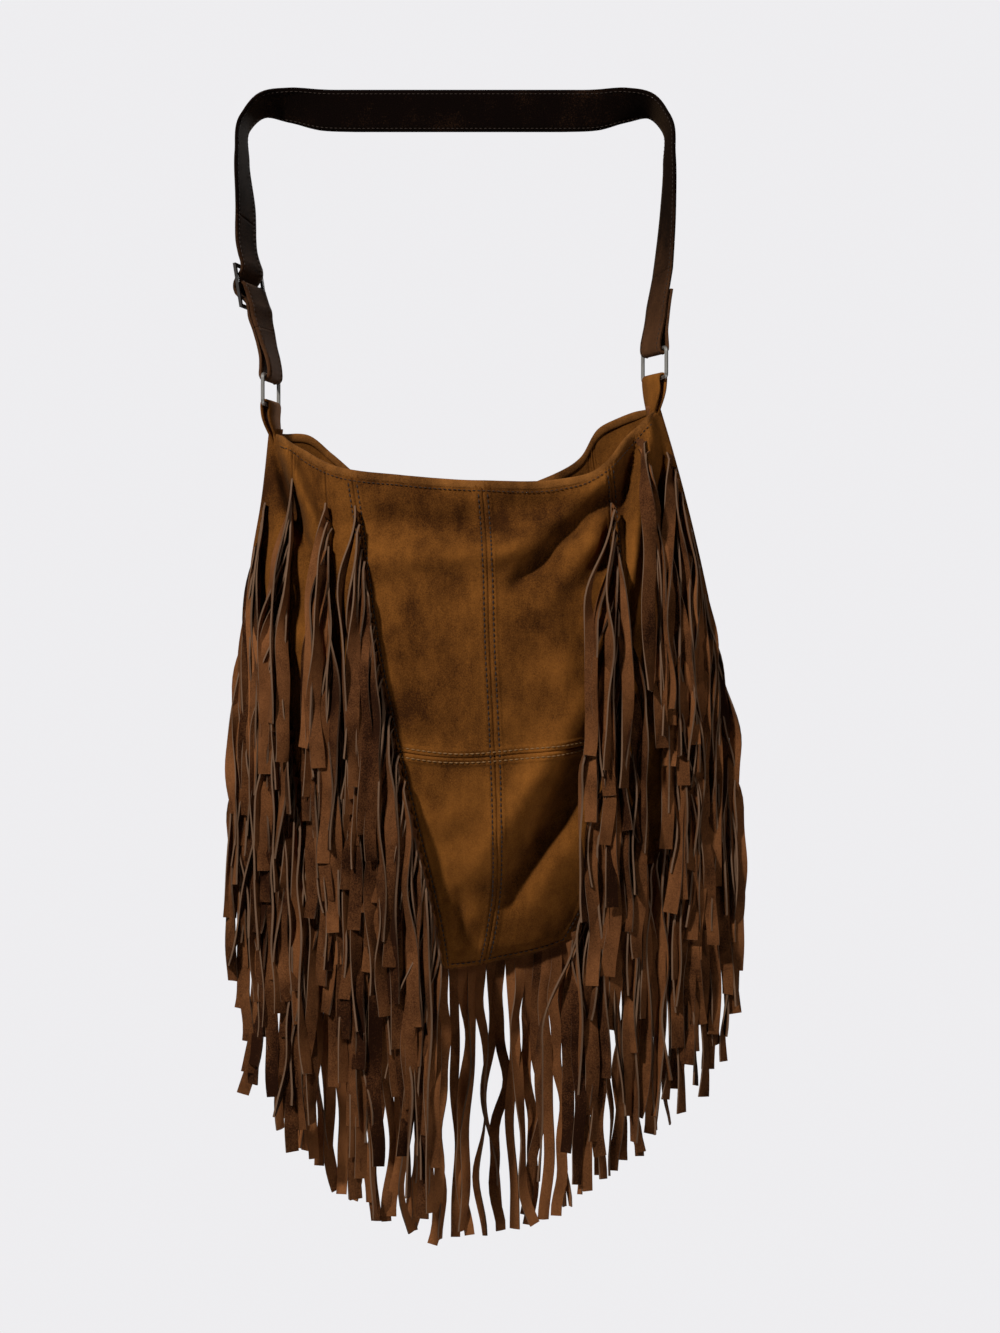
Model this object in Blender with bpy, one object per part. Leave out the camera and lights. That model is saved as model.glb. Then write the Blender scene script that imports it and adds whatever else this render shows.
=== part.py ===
"""Fringed suede shoulder bag, hanging from the middle of its strap.

Units are metres, +Z is up, +X is the bag's right as seen from the front, and
the front faces -Y. The origin is the middle of the flat inner face of the
strap's top run, which is where a shoulder or a peg carries the bag.
"""
import math

import bmesh
import bpy
import numpy as np

# ---- driving dimensions ------------------------------------------------------
SUEDE = 0.0016          # one layer of fringe suede
PANEL = 0.0022          # body panel: suede with its backing
HEM_PROUD = 0.0009      # how far the binding stands out of the panel, each side
GAP = 0.0004            # clearance between two pieces that touch
SEAM_GAP = 0.0010       # clearance between two panels, whose edges are turned in
SEAM_Y = -0.045         # plane of the seam that joins front and back
SEAM_HALF = 0.0012      # half of the slit in that seam, which takes the fringe
MOUTH_BULGE = 0.034     # front of the mouth, ahead of the seam plane
BELLY_BULGE = 0.022     # further bulge at mid height
BACK_SHARE = 0.78       # bulge of the back against that of the front
BODY_TOP = -0.229
BODY_BOTTOM = -0.6526

STRAP_WIDTH = 0.032
STRAP_THICK = 0.0022
BAND_TILT = math.radians(17.0)   # the top run's inner face looks forward and down
RING_WIRE = 0.0015      # radius of the ring's wire
RING_HALF_WIDTH = 0.0193
RING_HALF_HEIGHT = 0.0110
RING_CORNER = 0.0028
TAB_WIDTH = 0.028
TAB_DROP = 0.0160
SLIDER_BAR = 0.0022     # side of each bar of the slider
SLIDER_PITCH = 0.016    # from the middle bar to each end bar
SLIDER_HALF_WIDTH = 0.0195

RING_LEFT = np.array([-0.1405, SEAM_Y, -0.2200])
RING_RIGHT = np.array([0.1474, SEAM_Y, -0.2001])
BAR_LEFT = np.array([-0.22, -0.9755, 0.0])      # along the left ring's bars
BAR_RIGHT = np.array([0.40, -0.9165, 0.0])
UP = np.array([0.0, 0.0, 1.0])

# ---- outlines of the body, (x, z), each read as one smooth curve ---------------
MOUTH_FRONT = [(-0.1410, -0.2476), (-0.1250, -0.2577), (-0.0942, -0.2760), (-0.0422, -0.2847),
               (0.0168, -0.2891), (0.0757, -0.2877), (0.0980, -0.2820), (0.1093, -0.2743),
               (0.1245, -0.2566), (0.1500, -0.2289)]
MOUTH_BACK = [(-0.1410, -0.2476), (-0.1320, -0.2498), (-0.1130, -0.2510), (-0.0960, -0.2640),
              (-0.0700, -0.2850), (0.0100, -0.2950), (0.0600, -0.2840), (0.0921, -0.2664),
              (0.1070, -0.2440), (0.1220, -0.2369), (0.1500, -0.2289)]
SIDE_LEFT = [(-0.1410, -0.2476), (-0.1470, -0.3016), (-0.1545, -0.3466), (-0.1590, -0.4066),
             (-0.1590, -0.4516), (-0.1500, -0.5191), (-0.1298, -0.5716)]
SIDE_RIGHT = [(0.1500, -0.2289), (0.1605, -0.2641), (0.1725, -0.3091), (0.1830, -0.3541),
              (0.1920, -0.3991), (0.1980, -0.4441), (0.1985, -0.4816), (0.1925, -0.5191),
              (0.1780, -0.5454), (0.1590, -0.5679)]
BOTTOM = [(-0.1298, -0.5716), (-0.0960, -0.6129), (-0.0435, -0.6466), (-0.0098, -0.6526),
          (0.0315, -0.6466), (0.0803, -0.6324), (0.1065, -0.6129), (0.1365, -0.5866),
          (0.1590, -0.5679)]

# where each seam leaves the mouth and reaches the bottom, as shares of the width
SEAM_LINES = {
    "left": (0.002, 0.002),
    "outer_left": (0.07, 0.15),
    "middle_left": (0.155, 0.30),
    "inner_left": (0.22, 0.435),
    "centre": (0.52, 0.52),
    "inner_right": (0.82, 0.70),
    "outer_right": (0.93, 0.86),
    "right": (0.998, 0.998),
}
# the pieces of each side from left to right: name, seam on its left, seam on its right, mesh columns
FRONT_PIECES = [
    ("front_gore_outer_left", "left", "outer_left", 3),
    ("front_gore_middle_left", "outer_left", "middle_left", 2),
    ("front_gore_inner_left", "middle_left", "inner_left", 2),
    ("front_panel_{}_left", "inner_left", "centre", 5),
    ("front_panel_{}_right", "centre", "inner_right", 5),
    ("front_gore_inner_right", "inner_right", "outer_right", 3),
    ("front_gore_outer_right", "outer_right", "right", 3),
]
BACK_PIECES = [
    ("back_side_panel_left", "left", "inner_left", 5),
    ("back_centre_panel", "inner_left", "inner_right", 8),
    ("back_side_panel_right", "inner_right", "right", 5),
]
CROSS_SEAM = 0.555      # height of the cross seam, as a share of the front
HEM_SHARE = 0.0235      # height of the binding, as a share of the front
HEM_END = 0.012         # where the binding stops short of the body's corners
FOOT_SHARE = 0.998      # where the pieces stop short of the bottom seam
BODY_WIDTH = 0.30       # length of the mouth, for turning a clearance into a share
BODY_HEIGHT = 0.34

COLOURS = {
    "suede": ((0.098, 0.033, 0.008), 0.95, 0.0),
    "fringe": ((0.086, 0.029, 0.010), 0.95, 0.0),
    "strap": ((0.030, 0.010, 0.004), 0.85, 0.0),
    "steel": ((0.45, 0.44, 0.43), 0.30, 1.0),
    "dark_steel": ((0.06, 0.055, 0.055), 0.35, 1.0),
}


# ---- curves ------------------------------------------------------------------
def smooth_curve(points, share):
    """Points of a Catmull-Rom curve through `points`, at shares 0 to 1 of its chord length."""
    pts = np.asarray(points, dtype=float)
    knots = np.concatenate([[0.0], np.cumsum(np.linalg.norm(np.diff(pts, axis=0), axis=1))])
    knots /= knots[-1]
    slopes = np.gradient(pts, knots, axis=0)
    share = np.clip(np.asarray(share, dtype=float), 0.0, 1.0)
    k = np.clip(np.searchsorted(knots, share, side="right") - 1, 0, len(pts) - 2)
    h = (knots[k + 1] - knots[k])[..., None]
    t = ((share - knots[k])[..., None]) / h
    return ((2 * t**3 - 3 * t**2 + 1) * pts[k] + (t**3 - 2 * t**2 + t) * h * slopes[k]
            + (3 * t**2 - 2 * t**3) * pts[k + 1] + (t**3 - t**2) * h * slopes[k + 1])


def seam_edges():
    """The perimeter as two branches, left and right, each ordered from the bottom up."""
    low = smooth_curve(BOTTOM, np.linspace(0.0, 1.0, 161))
    deepest = int(np.argmin(low[:, 1]))
    left = np.vstack([smooth_curve(SIDE_LEFT, np.linspace(0.0, 1.0, 121)), low[1:deepest + 1]])
    right = np.vstack([smooth_curve(SIDE_RIGHT, np.linspace(0.0, 1.0, 121)), low[deepest:-1][::-1]])
    return left[::-1], right[::-1]


LEFT_EDGE, RIGHT_EDGE = seam_edges()


def bulge(x, z):
    """How far the front stands ahead of the seam plane at (x, z): a sine arch over the width there,
    times an arch over the height that closes at the bottom seam. It is 0 outside the outline."""
    x_left = np.interp(z, LEFT_EDGE[:, 1], LEFT_EDGE[:, 0])
    x_right = np.interp(z, RIGHT_EDGE[:, 1], RIGHT_EDGE[:, 0])
    across = np.clip((x - x_left) / np.maximum(x_right - x_left, 1e-6), 0.0, 1.0)
    down = np.clip((BODY_TOP - z) / (BODY_TOP - BODY_BOTTOM), 0.0, 1.0)
    arch = (MOUTH_BULGE + BELLY_BULGE * np.sin(np.pi * down)) * np.sqrt(1.0 - down**6)
    return arch * np.sin(np.pi * across) ** 0.75


def hanging_bulge(x, z):
    """The bulge that something hanging at (x, z) clears: the greatest one straight above it."""
    above = z[..., None] + (BODY_TOP - z[..., None]) * np.linspace(0.0, 1.0, 60)
    return bulge(np.broadcast_to(x[..., None], above.shape), above).max(axis=-1)


def body_point(u, v, back=False):
    """Outer surface of the body: u runs from the left seam to the right one, v from the mouth down.
    The four outlines are blended into a patch in X and Z, and the bulge gives Y."""
    u, v = np.broadcast_arrays(np.asarray(u, dtype=float), np.asarray(v, dtype=float))
    top = MOUTH_BACK if back else MOUTH_FRONT
    uu, vv = u[..., None], v[..., None]
    corner = {(a, b): np.array(c) for (a, b), c in zip(
        ((0, 0), (1, 0), (0, 1), (1, 1)), (top[0], top[-1], BOTTOM[0], BOTTOM[-1]))}
    flat = ((1 - vv) * smooth_curve(top, u) + vv * smooth_curve(BOTTOM, u)
            + (1 - uu) * smooth_curve(SIDE_LEFT, v) + uu * smooth_curve(SIDE_RIGHT, v)
            - (1 - uu) * (1 - vv) * corner[0, 0] - uu * (1 - vv) * corner[1, 0]
            - (1 - uu) * vv * corner[0, 1] - uu * vv * corner[1, 1])
    depth = bulge(flat[..., 0], flat[..., 1])
    skin = SEAM_HALF + PANEL
    y = SEAM_Y + skin + BACK_SHARE * depth if back else SEAM_Y - skin - depth
    return np.stack([flat[..., 0], y, flat[..., 1]], axis=-1)


def seam_u(name, v):
    """Where a named seam lies across the width at height v."""
    top, bottom = SEAM_LINES[name]
    return top + (bottom - top) * v


# ---- solids ------------------------------------------------------------------
def finish(name, verts, faces, colour):
    """Makes one named object with its own material out of vertices and faces."""
    mesh = bpy.data.meshes.new(name)
    mesh.from_pydata([tuple(map(float, p)) for p in verts], [], faces)
    shape = bmesh.new()
    shape.from_mesh(mesh)
    bmesh.ops.recalc_face_normals(shape, faces=shape.faces)
    shape.to_mesh(mesh)
    shape.free()
    rgb, rough, metal = COLOURS[colour]
    mat = bpy.data.materials.new(name)
    mat.use_nodes = True
    shader = mat.node_tree.nodes["Principled BSDF"]
    shader.inputs["Base Color"].default_value = (*rgb, 1.0)
    shader.inputs["Roughness"].default_value = rough
    shader.inputs["Metallic"].default_value = metal
    mesh.materials.append(mat)
    mesh.shade_smooth()
    mesh.set_sharp_from_angle(angle=math.radians(40.0))
    obj = bpy.data.objects.new(name, mesh)
    bpy.context.scene.collection.objects.link(obj)
    return obj


def slab(name, front, behind, keep, colour):
    """A closed sheet between two grids of points. `keep` says which cells of the grid are there."""
    rows, cols = front.shape[:2]
    index = np.arange(rows * cols).reshape(rows, cols)
    far = rows * cols
    faces, edges = [], {}
    for i, j in zip(*np.nonzero(keep)):
        loop = [index[i, j], index[i + 1, j], index[i + 1, j + 1], index[i, j + 1]]
        faces.append([int(k) for k in loop])
        faces.append([int(k) + far for k in reversed(loop)])
        for a, b in zip(loop, loop[1:] + loop[:1]):
            if (b, a) in edges:
                del edges[b, a]
            else:
                edges[a, b] = True
    faces += [[int(b), int(a), int(a) + far, int(b) + far] for a, b in edges]
    verts = np.vstack([front.reshape(-1, 3), behind.reshape(-1, 3)])
    used = sorted({k for f in faces for k in f})
    place = {k: n for n, k in enumerate(used)}
    return finish(name, verts[used], [[place[k] for k in f] for f in faces], colour)


def grid_normals(points):
    """Unit normals of a grid of points, from the differences along its rows and columns."""
    n = np.cross(np.gradient(points, axis=0), np.gradient(points, axis=1))
    return n / np.maximum(np.linalg.norm(n, axis=-1, keepdims=True), 1e-12)


def body_patch(name, u, v, back=False, proud=0.0, thick=PANEL):
    """A piece of the body over a grid of (u, v), with its real thickness. It stands `proud` of the
    body's outer surface."""
    outer = body_point(u, v, back)
    normal = grid_normals(outer)
    outward = 1.0 if back else -1.0
    normal *= np.where(normal[..., 1:2] * outward < 0.0, -1.0, 1.0)
    near, far = outer + proud * normal, outer + (proud - thick) * normal
    return slab(name, near, far, np.ones((len(outer) - 1, outer.shape[1] - 1), dtype=bool), "suede")


def ribbon(name, path, across, width, thick, colour):
    """A flat strap of rectangular section carried along `path`, its width along `across`."""
    tangent = np.gradient(path, axis=0)
    tangent /= np.linalg.norm(tangent, axis=1, keepdims=True)
    across = across - np.sum(across * tangent, axis=1, keepdims=True) * tangent
    across /= np.linalg.norm(across, axis=1, keepdims=True)
    normal = np.cross(tangent, across)
    return tube(name, path, [a * across * width / 2 + b * normal * thick / 2
                             for a, b in ((-1, -1), (1, -1), (1, 1), (-1, 1))], colour)


def tube(name, path, offsets, colour, closed=False):
    """A tube along `path` whose section is the loop of `offsets`, each an array along the path."""
    sides, count = len(offsets), len(path)
    verts = np.stack([path + o for o in offsets], axis=1).reshape(-1, 3)
    faces = []
    for i in range(count if closed else count - 1):
        a, b = i * sides, ((i + 1) % count) * sides
        for k in range(sides):
            m = (k + 1) % sides
            faces.append([a + k, a + m, b + m, b + k])
    if not closed:
        faces.append(list(reversed(range(sides))))
        faces.append([(count - 1) * sides + k for k in range(sides)])
    return finish(name, verts, faces, colour)


# ---- the body ------------------------------------------------------------------
def piece_columns(left, right, cells, v):
    """Shares of the width over one piece, which ends half a clearance short of each seam."""
    half = 0.5 * SEAM_GAP / BODY_WIDTH
    start, stop = seam_u(left, v) + half, seam_u(right, v) - half
    return start + (stop - start) * np.linspace(0.0, 1.0, cells + 1)


def make_body(pieces, back):
    """One side of the body: its sewn pieces, and the rolled binding of its mouth. The binding has the
    same columns as the pieces under it, so that the clearance between them stays even."""
    half = 0.5 * SEAM_GAP / BODY_HEIGHT
    for name, left, right, cells in pieces:
        heights = [(name, HEM_SHARE, FOOT_SHARE, 12)]
        if "{}" in name:
            heights = [(name.format("upper"), HEM_SHARE, CROSS_SEAM - half, 8),
                       (name.format("lower"), CROSS_SEAM + half, FOOT_SHARE, 5)]
        for piece, v_from, v_to, rows in heights:
            v = np.linspace(v_from, v_to, rows + 1)[:, None]
            body_patch(piece, piece_columns(left, right, cells, v), v, back)
    top = np.array([[HEM_SHARE]])
    columns = np.unique(np.concatenate([piece_columns(left, right, cells, top)[0]
                                        for _, left, right, cells in pieces]))
    columns = columns[(columns > HEM_END) & (columns < 1.0 - HEM_END)][None, :]
    v = np.array([[0.0], [HEM_SHARE - SEAM_GAP / BODY_HEIGHT]])
    body_patch(f"mouth_binding_{'back' if back else 'front'}", columns, v, back, HEM_PROUD,
               PANEL + 2.0 * HEM_PROUD)


# ---- the fringe ------------------------------------------------------------------
STRIP = 0.008           # width of one fringe strip
SLOT = 0.0022           # slot between two strips at their free ends
ROW_CLEAR = 0.0012      # from the body to the back of a row
ROW_THICK = 0.0042      # a row of strips lying on each other
ROW_LENGTH = 0.185      # from a strip's root to its cut end
BOTTOM_LENGTH = 0.205

LAYER_STEP = 0.009      # a row of the second layer, against one of the first

# name: (seam, height of the first root, of the last, x from the seam to the row's left and right at
# its foot, layer)
FRONT_ROWS = {
    "fringe_outer_left": ("outer_left", 0.09, 0.78, -0.026, 0.014, 0),
    "fringe_middle_left": ("middle_left", 0.10, 0.88, -0.020, 0.030, 1),
    "fringe_inner_left": ("inner_left", 0.10, 0.97, -0.040, 0.010, 0),
    "fringe_inner_right": ("inner_right", 0.09, 0.97, -0.010, 0.050, 1),
    "fringe_outer_right": ("outer_right", 0.04, 0.80, -0.022, 0.034, 0),
}
ROW_NECK = 0.4          # width of a row at its top, against its foot


def strip_columns(x_from, x_to):
    """Edges of whole strips and the slots between them, filling x_from to x_to."""
    count = max(1, round((x_to - x_from + SLOT) / (STRIP + SLOT)))
    pitch = (x_to - x_from + SLOT) / count
    return np.sort(np.concatenate([x_from + pitch * np.arange(count),
                                   x_from + pitch * np.arange(count) + pitch - SLOT]))


def front_row(name):
    """A row of strips sewn in a steep seam: it leans with the seam, and each strip hangs free of its
    neighbours over its lower half, with the ends at different heights."""
    seam, first, last, left, right, layer = FRONT_ROWS[name]
    columns = strip_columns(left, right)
    rows = 14
    v = np.linspace(first, last, rows + 1)
    root = body_point(seam_u(seam, v), v)
    tail = root[-1] - np.array([0.0, 0.0, ROW_LENGTH])
    drop = np.linspace(0.0, 1.0, 5)[1:, None]
    spine = np.vstack([root, root[-1] + (tail - root[-1]) * drop])
    spread = np.clip(np.linspace(ROW_NECK, 1.6, len(spine)), 0.0, 1.0)[:, None]
    x = spine[:, 0][:, None] + columns[None, :] * spread
    stagger = 0.012 * np.cos(4.1 * (np.arange(len(columns)) // 2))
    fall = np.linspace(0.0, 1.0, len(spine))[:, None] ** 3
    z = spine[:, 2][:, None] + stagger[None, :] * fall
    y = SEAM_Y - SEAM_HALF - PANEL - hanging_bulge(x, z) - ROW_CLEAR - layer * LAYER_STEP
    behind = np.stack([x, y, z], axis=-1)
    front = behind - np.array([0.0, ROW_THICK, 0.0])
    keep = np.ones((len(spine) - 1, len(columns) - 1), dtype=bool)
    keep[len(spine) // 2:, 1::2] = False
    return slab(name, front, behind, keep, "fringe")


def perimeter_row(name, columns, top, tips, split):
    """A flat row of strips in the slit of the perimeter seam. `top` and `tips` give the height of
    each column edge, and the strips hang free below the share `split` of their length."""
    share = np.array([0.0, 0.06, split, 1.0])[:, None]
    z = top[None, :] + (tips - top)[None, :] * share
    x = np.broadcast_to(columns[None, :], z.shape)
    front = np.stack([x, np.full_like(z, SEAM_Y - SUEDE / 2), z], axis=-1)
    keep = np.ones((3, len(columns) - 1), dtype=bool)
    keep[2, 1::2] = False
    return slab(name, front, front + np.array([0.0, SUEDE, 0.0]), keep, "fringe")


def height_of(edge_line, x):
    """Height of the part of the perimeter below its widest place, at x."""
    widest = int(np.argmax(np.abs(edge_line[:, 0])))
    line = edge_line[:widest + 1]
    order = np.argsort(line[:, 0])
    return np.interp(x, line[order, 0], line[order, 1])


def make_fringe():
    """Five rows on the front and one round the perimeter, which is sewn on in three lengths."""
    for name in FRONT_ROWS:
        front_row(name)
    allowance = 0.007
    columns = strip_columns(-0.128, 0.158)
    seam = np.where(columns < -0.0098, height_of(LEFT_EDGE, columns), height_of(RIGHT_EDGE, columns))
    stagger = 0.010 * np.sin(2.1 * (np.arange(len(columns)) // 2))
    perimeter_row("fringe_bottom", columns, seam + allowance, seam - BOTTOM_LENGTH + stagger, 0.2)
    columns = strip_columns(-0.1685, -0.1285)
    share = np.linspace(0.0, 1.0, len(columns))
    perimeter_row("fringe_side_left", columns, -0.348 - 0.215 * share**1.6,
                  -0.600 - 0.165 * share**0.9, 0.55)
    columns = strip_columns(0.1585, 0.2125)
    share = np.linspace(1.0, 0.0, len(columns))
    perimeter_row("fringe_side_right", columns, -0.372 - 0.185 * share**1.6,
                  -0.625 - 0.140 * share**0.9, 0.55)


# ---- strap, rings and slider -------------------------------------------------------
FOLD = 0.0034           # radius of the strap's middle round a ring bar
LAYER = 0.0015          # each layer's middle from the middle of a doubled strap

BAND_Y = STRAP_THICK / 2 * math.cos(BAND_TILT)
BAND_Z = STRAP_THICK / 2 * math.sin(BAND_TILT)
BAND_ACROSS = (-math.sin(BAND_TILT), math.cos(BAND_TILT))
SLIDER_KEY = 4          # the point of the line where the slider sits

# middle line of the strap from the left ring up, over, and down to the right ring: x, y, z, and the
# way its width points
STRAP_LINE = [
    (-0.1405, -0.0450, -0.2090, -0.22, -0.975, 0.0),
    (-0.1405, -0.0450, -0.2020, -0.22, -0.975, 0.0),
    (-0.1436, -0.0438, -0.1850, -0.28, -0.960, 0.0),
    (-0.1526, -0.0402, -0.1640, -0.40, -0.916, 0.0),
    (-0.1560, -0.0370, -0.1430, -0.40, -0.916, 0.0),
    (-0.1594, -0.0338, -0.1220, -0.40, -0.916, 0.0),
    (-0.1615, -0.0240, -0.0760, -0.34, -0.940, 0.0),
    (-0.1650, -0.0140, -0.0380, -0.20, -0.980, 0.0),
    (-0.1635, -0.0050, -0.0100, -0.12, -0.985, 0.1),
    (-0.1510, 0.0000, 0.0045, -0.10, -0.900, 0.35),
    (-0.1300, 0.0012, 0.0048, 0.0, -0.700, 0.70),
    (-0.1050, 0.0011, 0.0010, 0.0, -0.400, 0.90),
    (-0.0800, BAND_Y, BAND_Z, 0.0, *BAND_ACROSS),
    (0.0, BAND_Y, BAND_Z, 0.0, *BAND_ACROSS),
    (0.0800, BAND_Y, BAND_Z, 0.0, *BAND_ACROSS),
    (0.1050, 0.0011, 0.0010, 0.0, -0.400, 0.90),
    (0.1280, 0.0012, 0.0048, 0.0, -0.700, 0.70),
    (0.1470, 0.0000, 0.0040, 0.10, -0.900, 0.35),
    (0.1590, -0.0050, -0.0110, 0.12, -0.985, 0.1),
    (0.1605, -0.0140, -0.0400, 0.18, -0.980, 0.0),
    (0.1590, -0.0240, -0.0760, 0.26, -0.965, 0.0),
    (0.1540, -0.0360, -0.1300, 0.38, -0.925, 0.0),
    (0.1495, -0.0430, -0.1650, 0.41, -0.912, 0.0),
    (0.1474, -0.0450, -0.1820, 0.40, -0.9165, 0.0),
    (0.1474, -0.0450, -0.1891, 0.40, -0.9165, 0.0),
]


class StrapLine:
    """The strap's middle line with its width direction and its outward normal, by length from the
    left ring's upper bar."""

    def __init__(self):
        keys = np.array(STRAP_LINE)
        fine = smooth_curve(keys[:, :3], np.linspace(0.0, 1.0, 1201))
        chord = np.concatenate([[0.0], np.cumsum(np.linalg.norm(np.diff(keys[:, :3], axis=0), axis=1))])
        along = np.linspace(0.0, chord[-1], 1201)
        across = np.stack([np.interp(along, chord, keys[:, 3 + k]) for k in range(3)], axis=1)
        level = np.flatnonzero(keys[:, 2] == BAND_Z)
        band = (along >= chord[level[0]]) & (along <= chord[level[-1]])
        fine[band, 1:] = keys[level[0], 1:3]
        tangent = np.gradient(fine, axis=0)
        tangent /= np.linalg.norm(tangent, axis=1, keepdims=True)
        across -= np.sum(across * tangent, axis=1, keepdims=True) * tangent
        across /= np.linalg.norm(across, axis=1, keepdims=True)
        self.points, self.across = fine, across
        self.outward = -np.cross(tangent, across)
        self.length = np.concatenate([[0.0], np.cumsum(np.linalg.norm(np.diff(fine, axis=0), axis=1))])
        self.slider_at = float(np.interp(chord[SLIDER_KEY], along, self.length))
        self.band = self.length[band][[0, -1]]

    def at(self, length, offset):
        """Points `offset` outward of the line at these lengths, and the width direction there."""
        place = [np.interp(length, self.length, self.points[:, k]) for k in range(3)]
        out = [np.interp(length, self.length, self.outward[:, k]) for k in range(3)]
        wide = [np.interp(length, self.length, self.across[:, k]) for k in range(3)]
        place, out, wide = (np.stack(a, axis=1) for a in (place, out, wide))
        return place + np.asarray(offset)[:, None] * out, wide


LINE = StrapLine()


def strap_route():
    """The strap as (length along the line, offset outward) from its sewn end round the slider's
    middle bar, down to the left ring, back through the slider, over the top, and round the right
    ring to its other sewn end."""
    at = LINE.slider_at
    wrap = SLIDER_BAR * math.sqrt(0.5) + GAP + STRAP_THICK / 2
    turn = np.radians(np.linspace(-15.0, 180.0, 8))
    sewn = np.stack([at + wrap * np.sin(turn), wrap * np.cos(turn)], axis=1)
    inside = np.array([(at - 0.0050, -0.0040), (at - 0.0100, -0.0050), (at - SLIDER_PITCH, -0.0063),
                       (at - 0.0240, -0.0053), (at - 0.0340, -0.0034), (0.024, -LAYER),
                       (0.012, -0.0024), (0.005, -0.0032)])
    turn = np.radians(np.linspace(180.0, 360.0, 9))
    fold = np.stack([FOLD * np.sin(turn), FOLD * np.cos(turn)], axis=1)
    half_weave = np.array([(0.0, 0.0058), (0.0032, 0.0053), (0.0145, -0.0034), (0.0175, -0.0036),
                           (0.0240, -0.0024), (0.0340, -0.0006)])
    below = np.stack([at - half_weave[::-1, 0], half_weave[::-1, 1]], axis=1)
    above = np.stack([at + half_weave[1:, 0], half_weave[1:, 1]], axis=1)
    weave = np.vstack([[(0.005, 0.0032), (0.012, 0.0024), (0.024, LAYER)], below, above,
                       [(at + 0.045, 0.0)]])
    lead = np.linspace(at + 0.055, LINE.band[0] - 0.004, 16)
    band = np.linspace(LINE.band[0], LINE.band[1], 5)
    end = LINE.length[-1]
    down = np.linspace(LINE.band[1] + 0.004, end - 0.060, 18)
    plain = np.concatenate([lead, band, down])
    near = np.array([(end - 0.048, -0.0008), (end - 0.036, -LAYER), (end - 0.022, -LAYER),
                     (end - 0.012, -0.0022), (end - 0.005, -0.0032)])
    turn = np.radians(np.linspace(180.0, 360.0, 9))
    far_fold = np.stack([end - FOLD * np.sin(turn), FOLD * np.cos(turn)], axis=1)
    back_up = np.array([(end - 0.005, 0.0032), (end - 0.012, 0.0022), (end - 0.022, LAYER),
                        (end - 0.036, LAYER), (end - 0.044, LAYER + 0.0004)])
    straight = np.stack([plain, np.zeros_like(plain)], axis=1)
    return sewn, inside, fold, weave, straight, near, far_fold, back_up


def route_points(route):
    """World points and width directions of the route. Past the ends of the line, where the strap
    turns under a ring bar, a point lies straight below the bar by the excess length."""
    parts = np.vstack(route)
    end = LINE.length[-1]
    place, wide = LINE.at(np.clip(parts[:, 0], 0.0, end), parts[:, 1])
    below = np.maximum(-parts[:, 0], 0.0) + np.maximum(parts[:, 0] - end, 0.0)
    place[:, 2] -= below
    return place, wide


def make_strap():
    """The long strap, one piece with both ends sewn back on themselves."""
    place, wide = route_points(strap_route())
    ribbon("shoulder_strap", place, wide, STRAP_WIDTH, STRAP_THICK, "strap")


def rounded_loop(half_w, half_h, radius, per_corner):
    """A rectangle with round corners, as (across, up) pairs, and the outward direction at each."""
    pts, out = [], []
    for k, (cx, cy) in enumerate(((1, 1), (-1, 1), (-1, -1), (1, -1))):
        for step in range(per_corner + 1):
            angle = math.radians(90.0 * (k + step / per_corner))
            d = (math.cos(angle), math.sin(angle))
            pts.append((cx * (half_w - radius) + radius * d[0], cy * (half_h - radius) + radius * d[1]))
            out.append(d)
    return np.array(pts), np.array(out)


def make_ring(name, centre, bar):
    """A rectangular ring bent from round wire, with its bars along `bar`."""
    pts, out = rounded_loop(RING_HALF_WIDTH, RING_HALF_HEIGHT, RING_CORNER, 4)
    path = centre + pts[:, :1] * bar + pts[:, 1:] * UP
    outward = out[:, :1] * bar + out[:, 1:] * UP
    side = np.cross(bar, UP)
    turn = np.radians(np.arange(0.0, 360.0, 45.0))
    offsets = [RING_WIRE * (math.cos(a) * outward + math.sin(a) * side) for a in turn]
    return tube(name, path, offsets, "steel", closed=True)


def make_tab(name, ring_centre, bar):
    """A folded suede tab: up one side, round the ring's lower bar, and down the other side."""
    pin = ring_centre - RING_HALF_HEIGHT * UP
    outward = np.cross(UP, bar)
    radius = RING_WIRE + GAP + PANEL / 2
    turn = np.radians(np.linspace(0.0, 180.0, 11))
    legs = np.array([(0.0016, -TAB_DROP), (0.0022, -0.007), (radius, -0.003)])
    arc = np.stack([radius * np.cos(turn), radius * np.sin(turn)], axis=1)
    pts = np.vstack([legs, arc, (legs * [-1, 1])[::-1]])
    path = pin + pts[:, :1] * outward + pts[:, 1:] * UP
    return ribbon(name, path, np.broadcast_to(bar, path.shape), TAB_WIDTH, PANEL, "suede")


def make_slider():
    """The strap's three-bar slider: a frame with a middle bar, one casting."""
    place, wide = LINE.at(np.array([LINE.slider_at]), np.array([0.0]))
    ahead, _ = LINE.at(np.array([LINE.slider_at + 0.001]), np.array([0.0]))
    along = ahead[0] - place[0]
    along /= np.linalg.norm(along)
    wide = wide[0] - wide[0] @ along * along
    wide /= np.linalg.norm(wide)
    out = np.cross(wide, along)
    half, bar = SLIDER_HALF_WIDTH, SLIDER_BAR / 2
    tall = SLIDER_PITCH
    across = np.array([-half - bar, -half + bar, half - bar, half + bar])
    height = np.array([-tall - bar, -tall + bar, -bar, bar, tall - bar, tall + bar])
    grid = place[0] + across[None, :, None] * wide + height[:, None, None] * along
    keep = np.ones((5, 3), dtype=bool)
    keep[1, 1] = keep[3, 1] = False
    sign = 1.0 if out[0] < 0 else -1.0
    shift = sign * out * bar
    front, behind = grid + shift, grid - shift
    if np.cross(grid[1, 0] - grid[0, 0], grid[0, 1] - grid[0, 0]) @ shift < 0:
        front, behind = behind, front
    return slab("strap_slider", front, behind, keep, "dark_steel")


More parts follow.
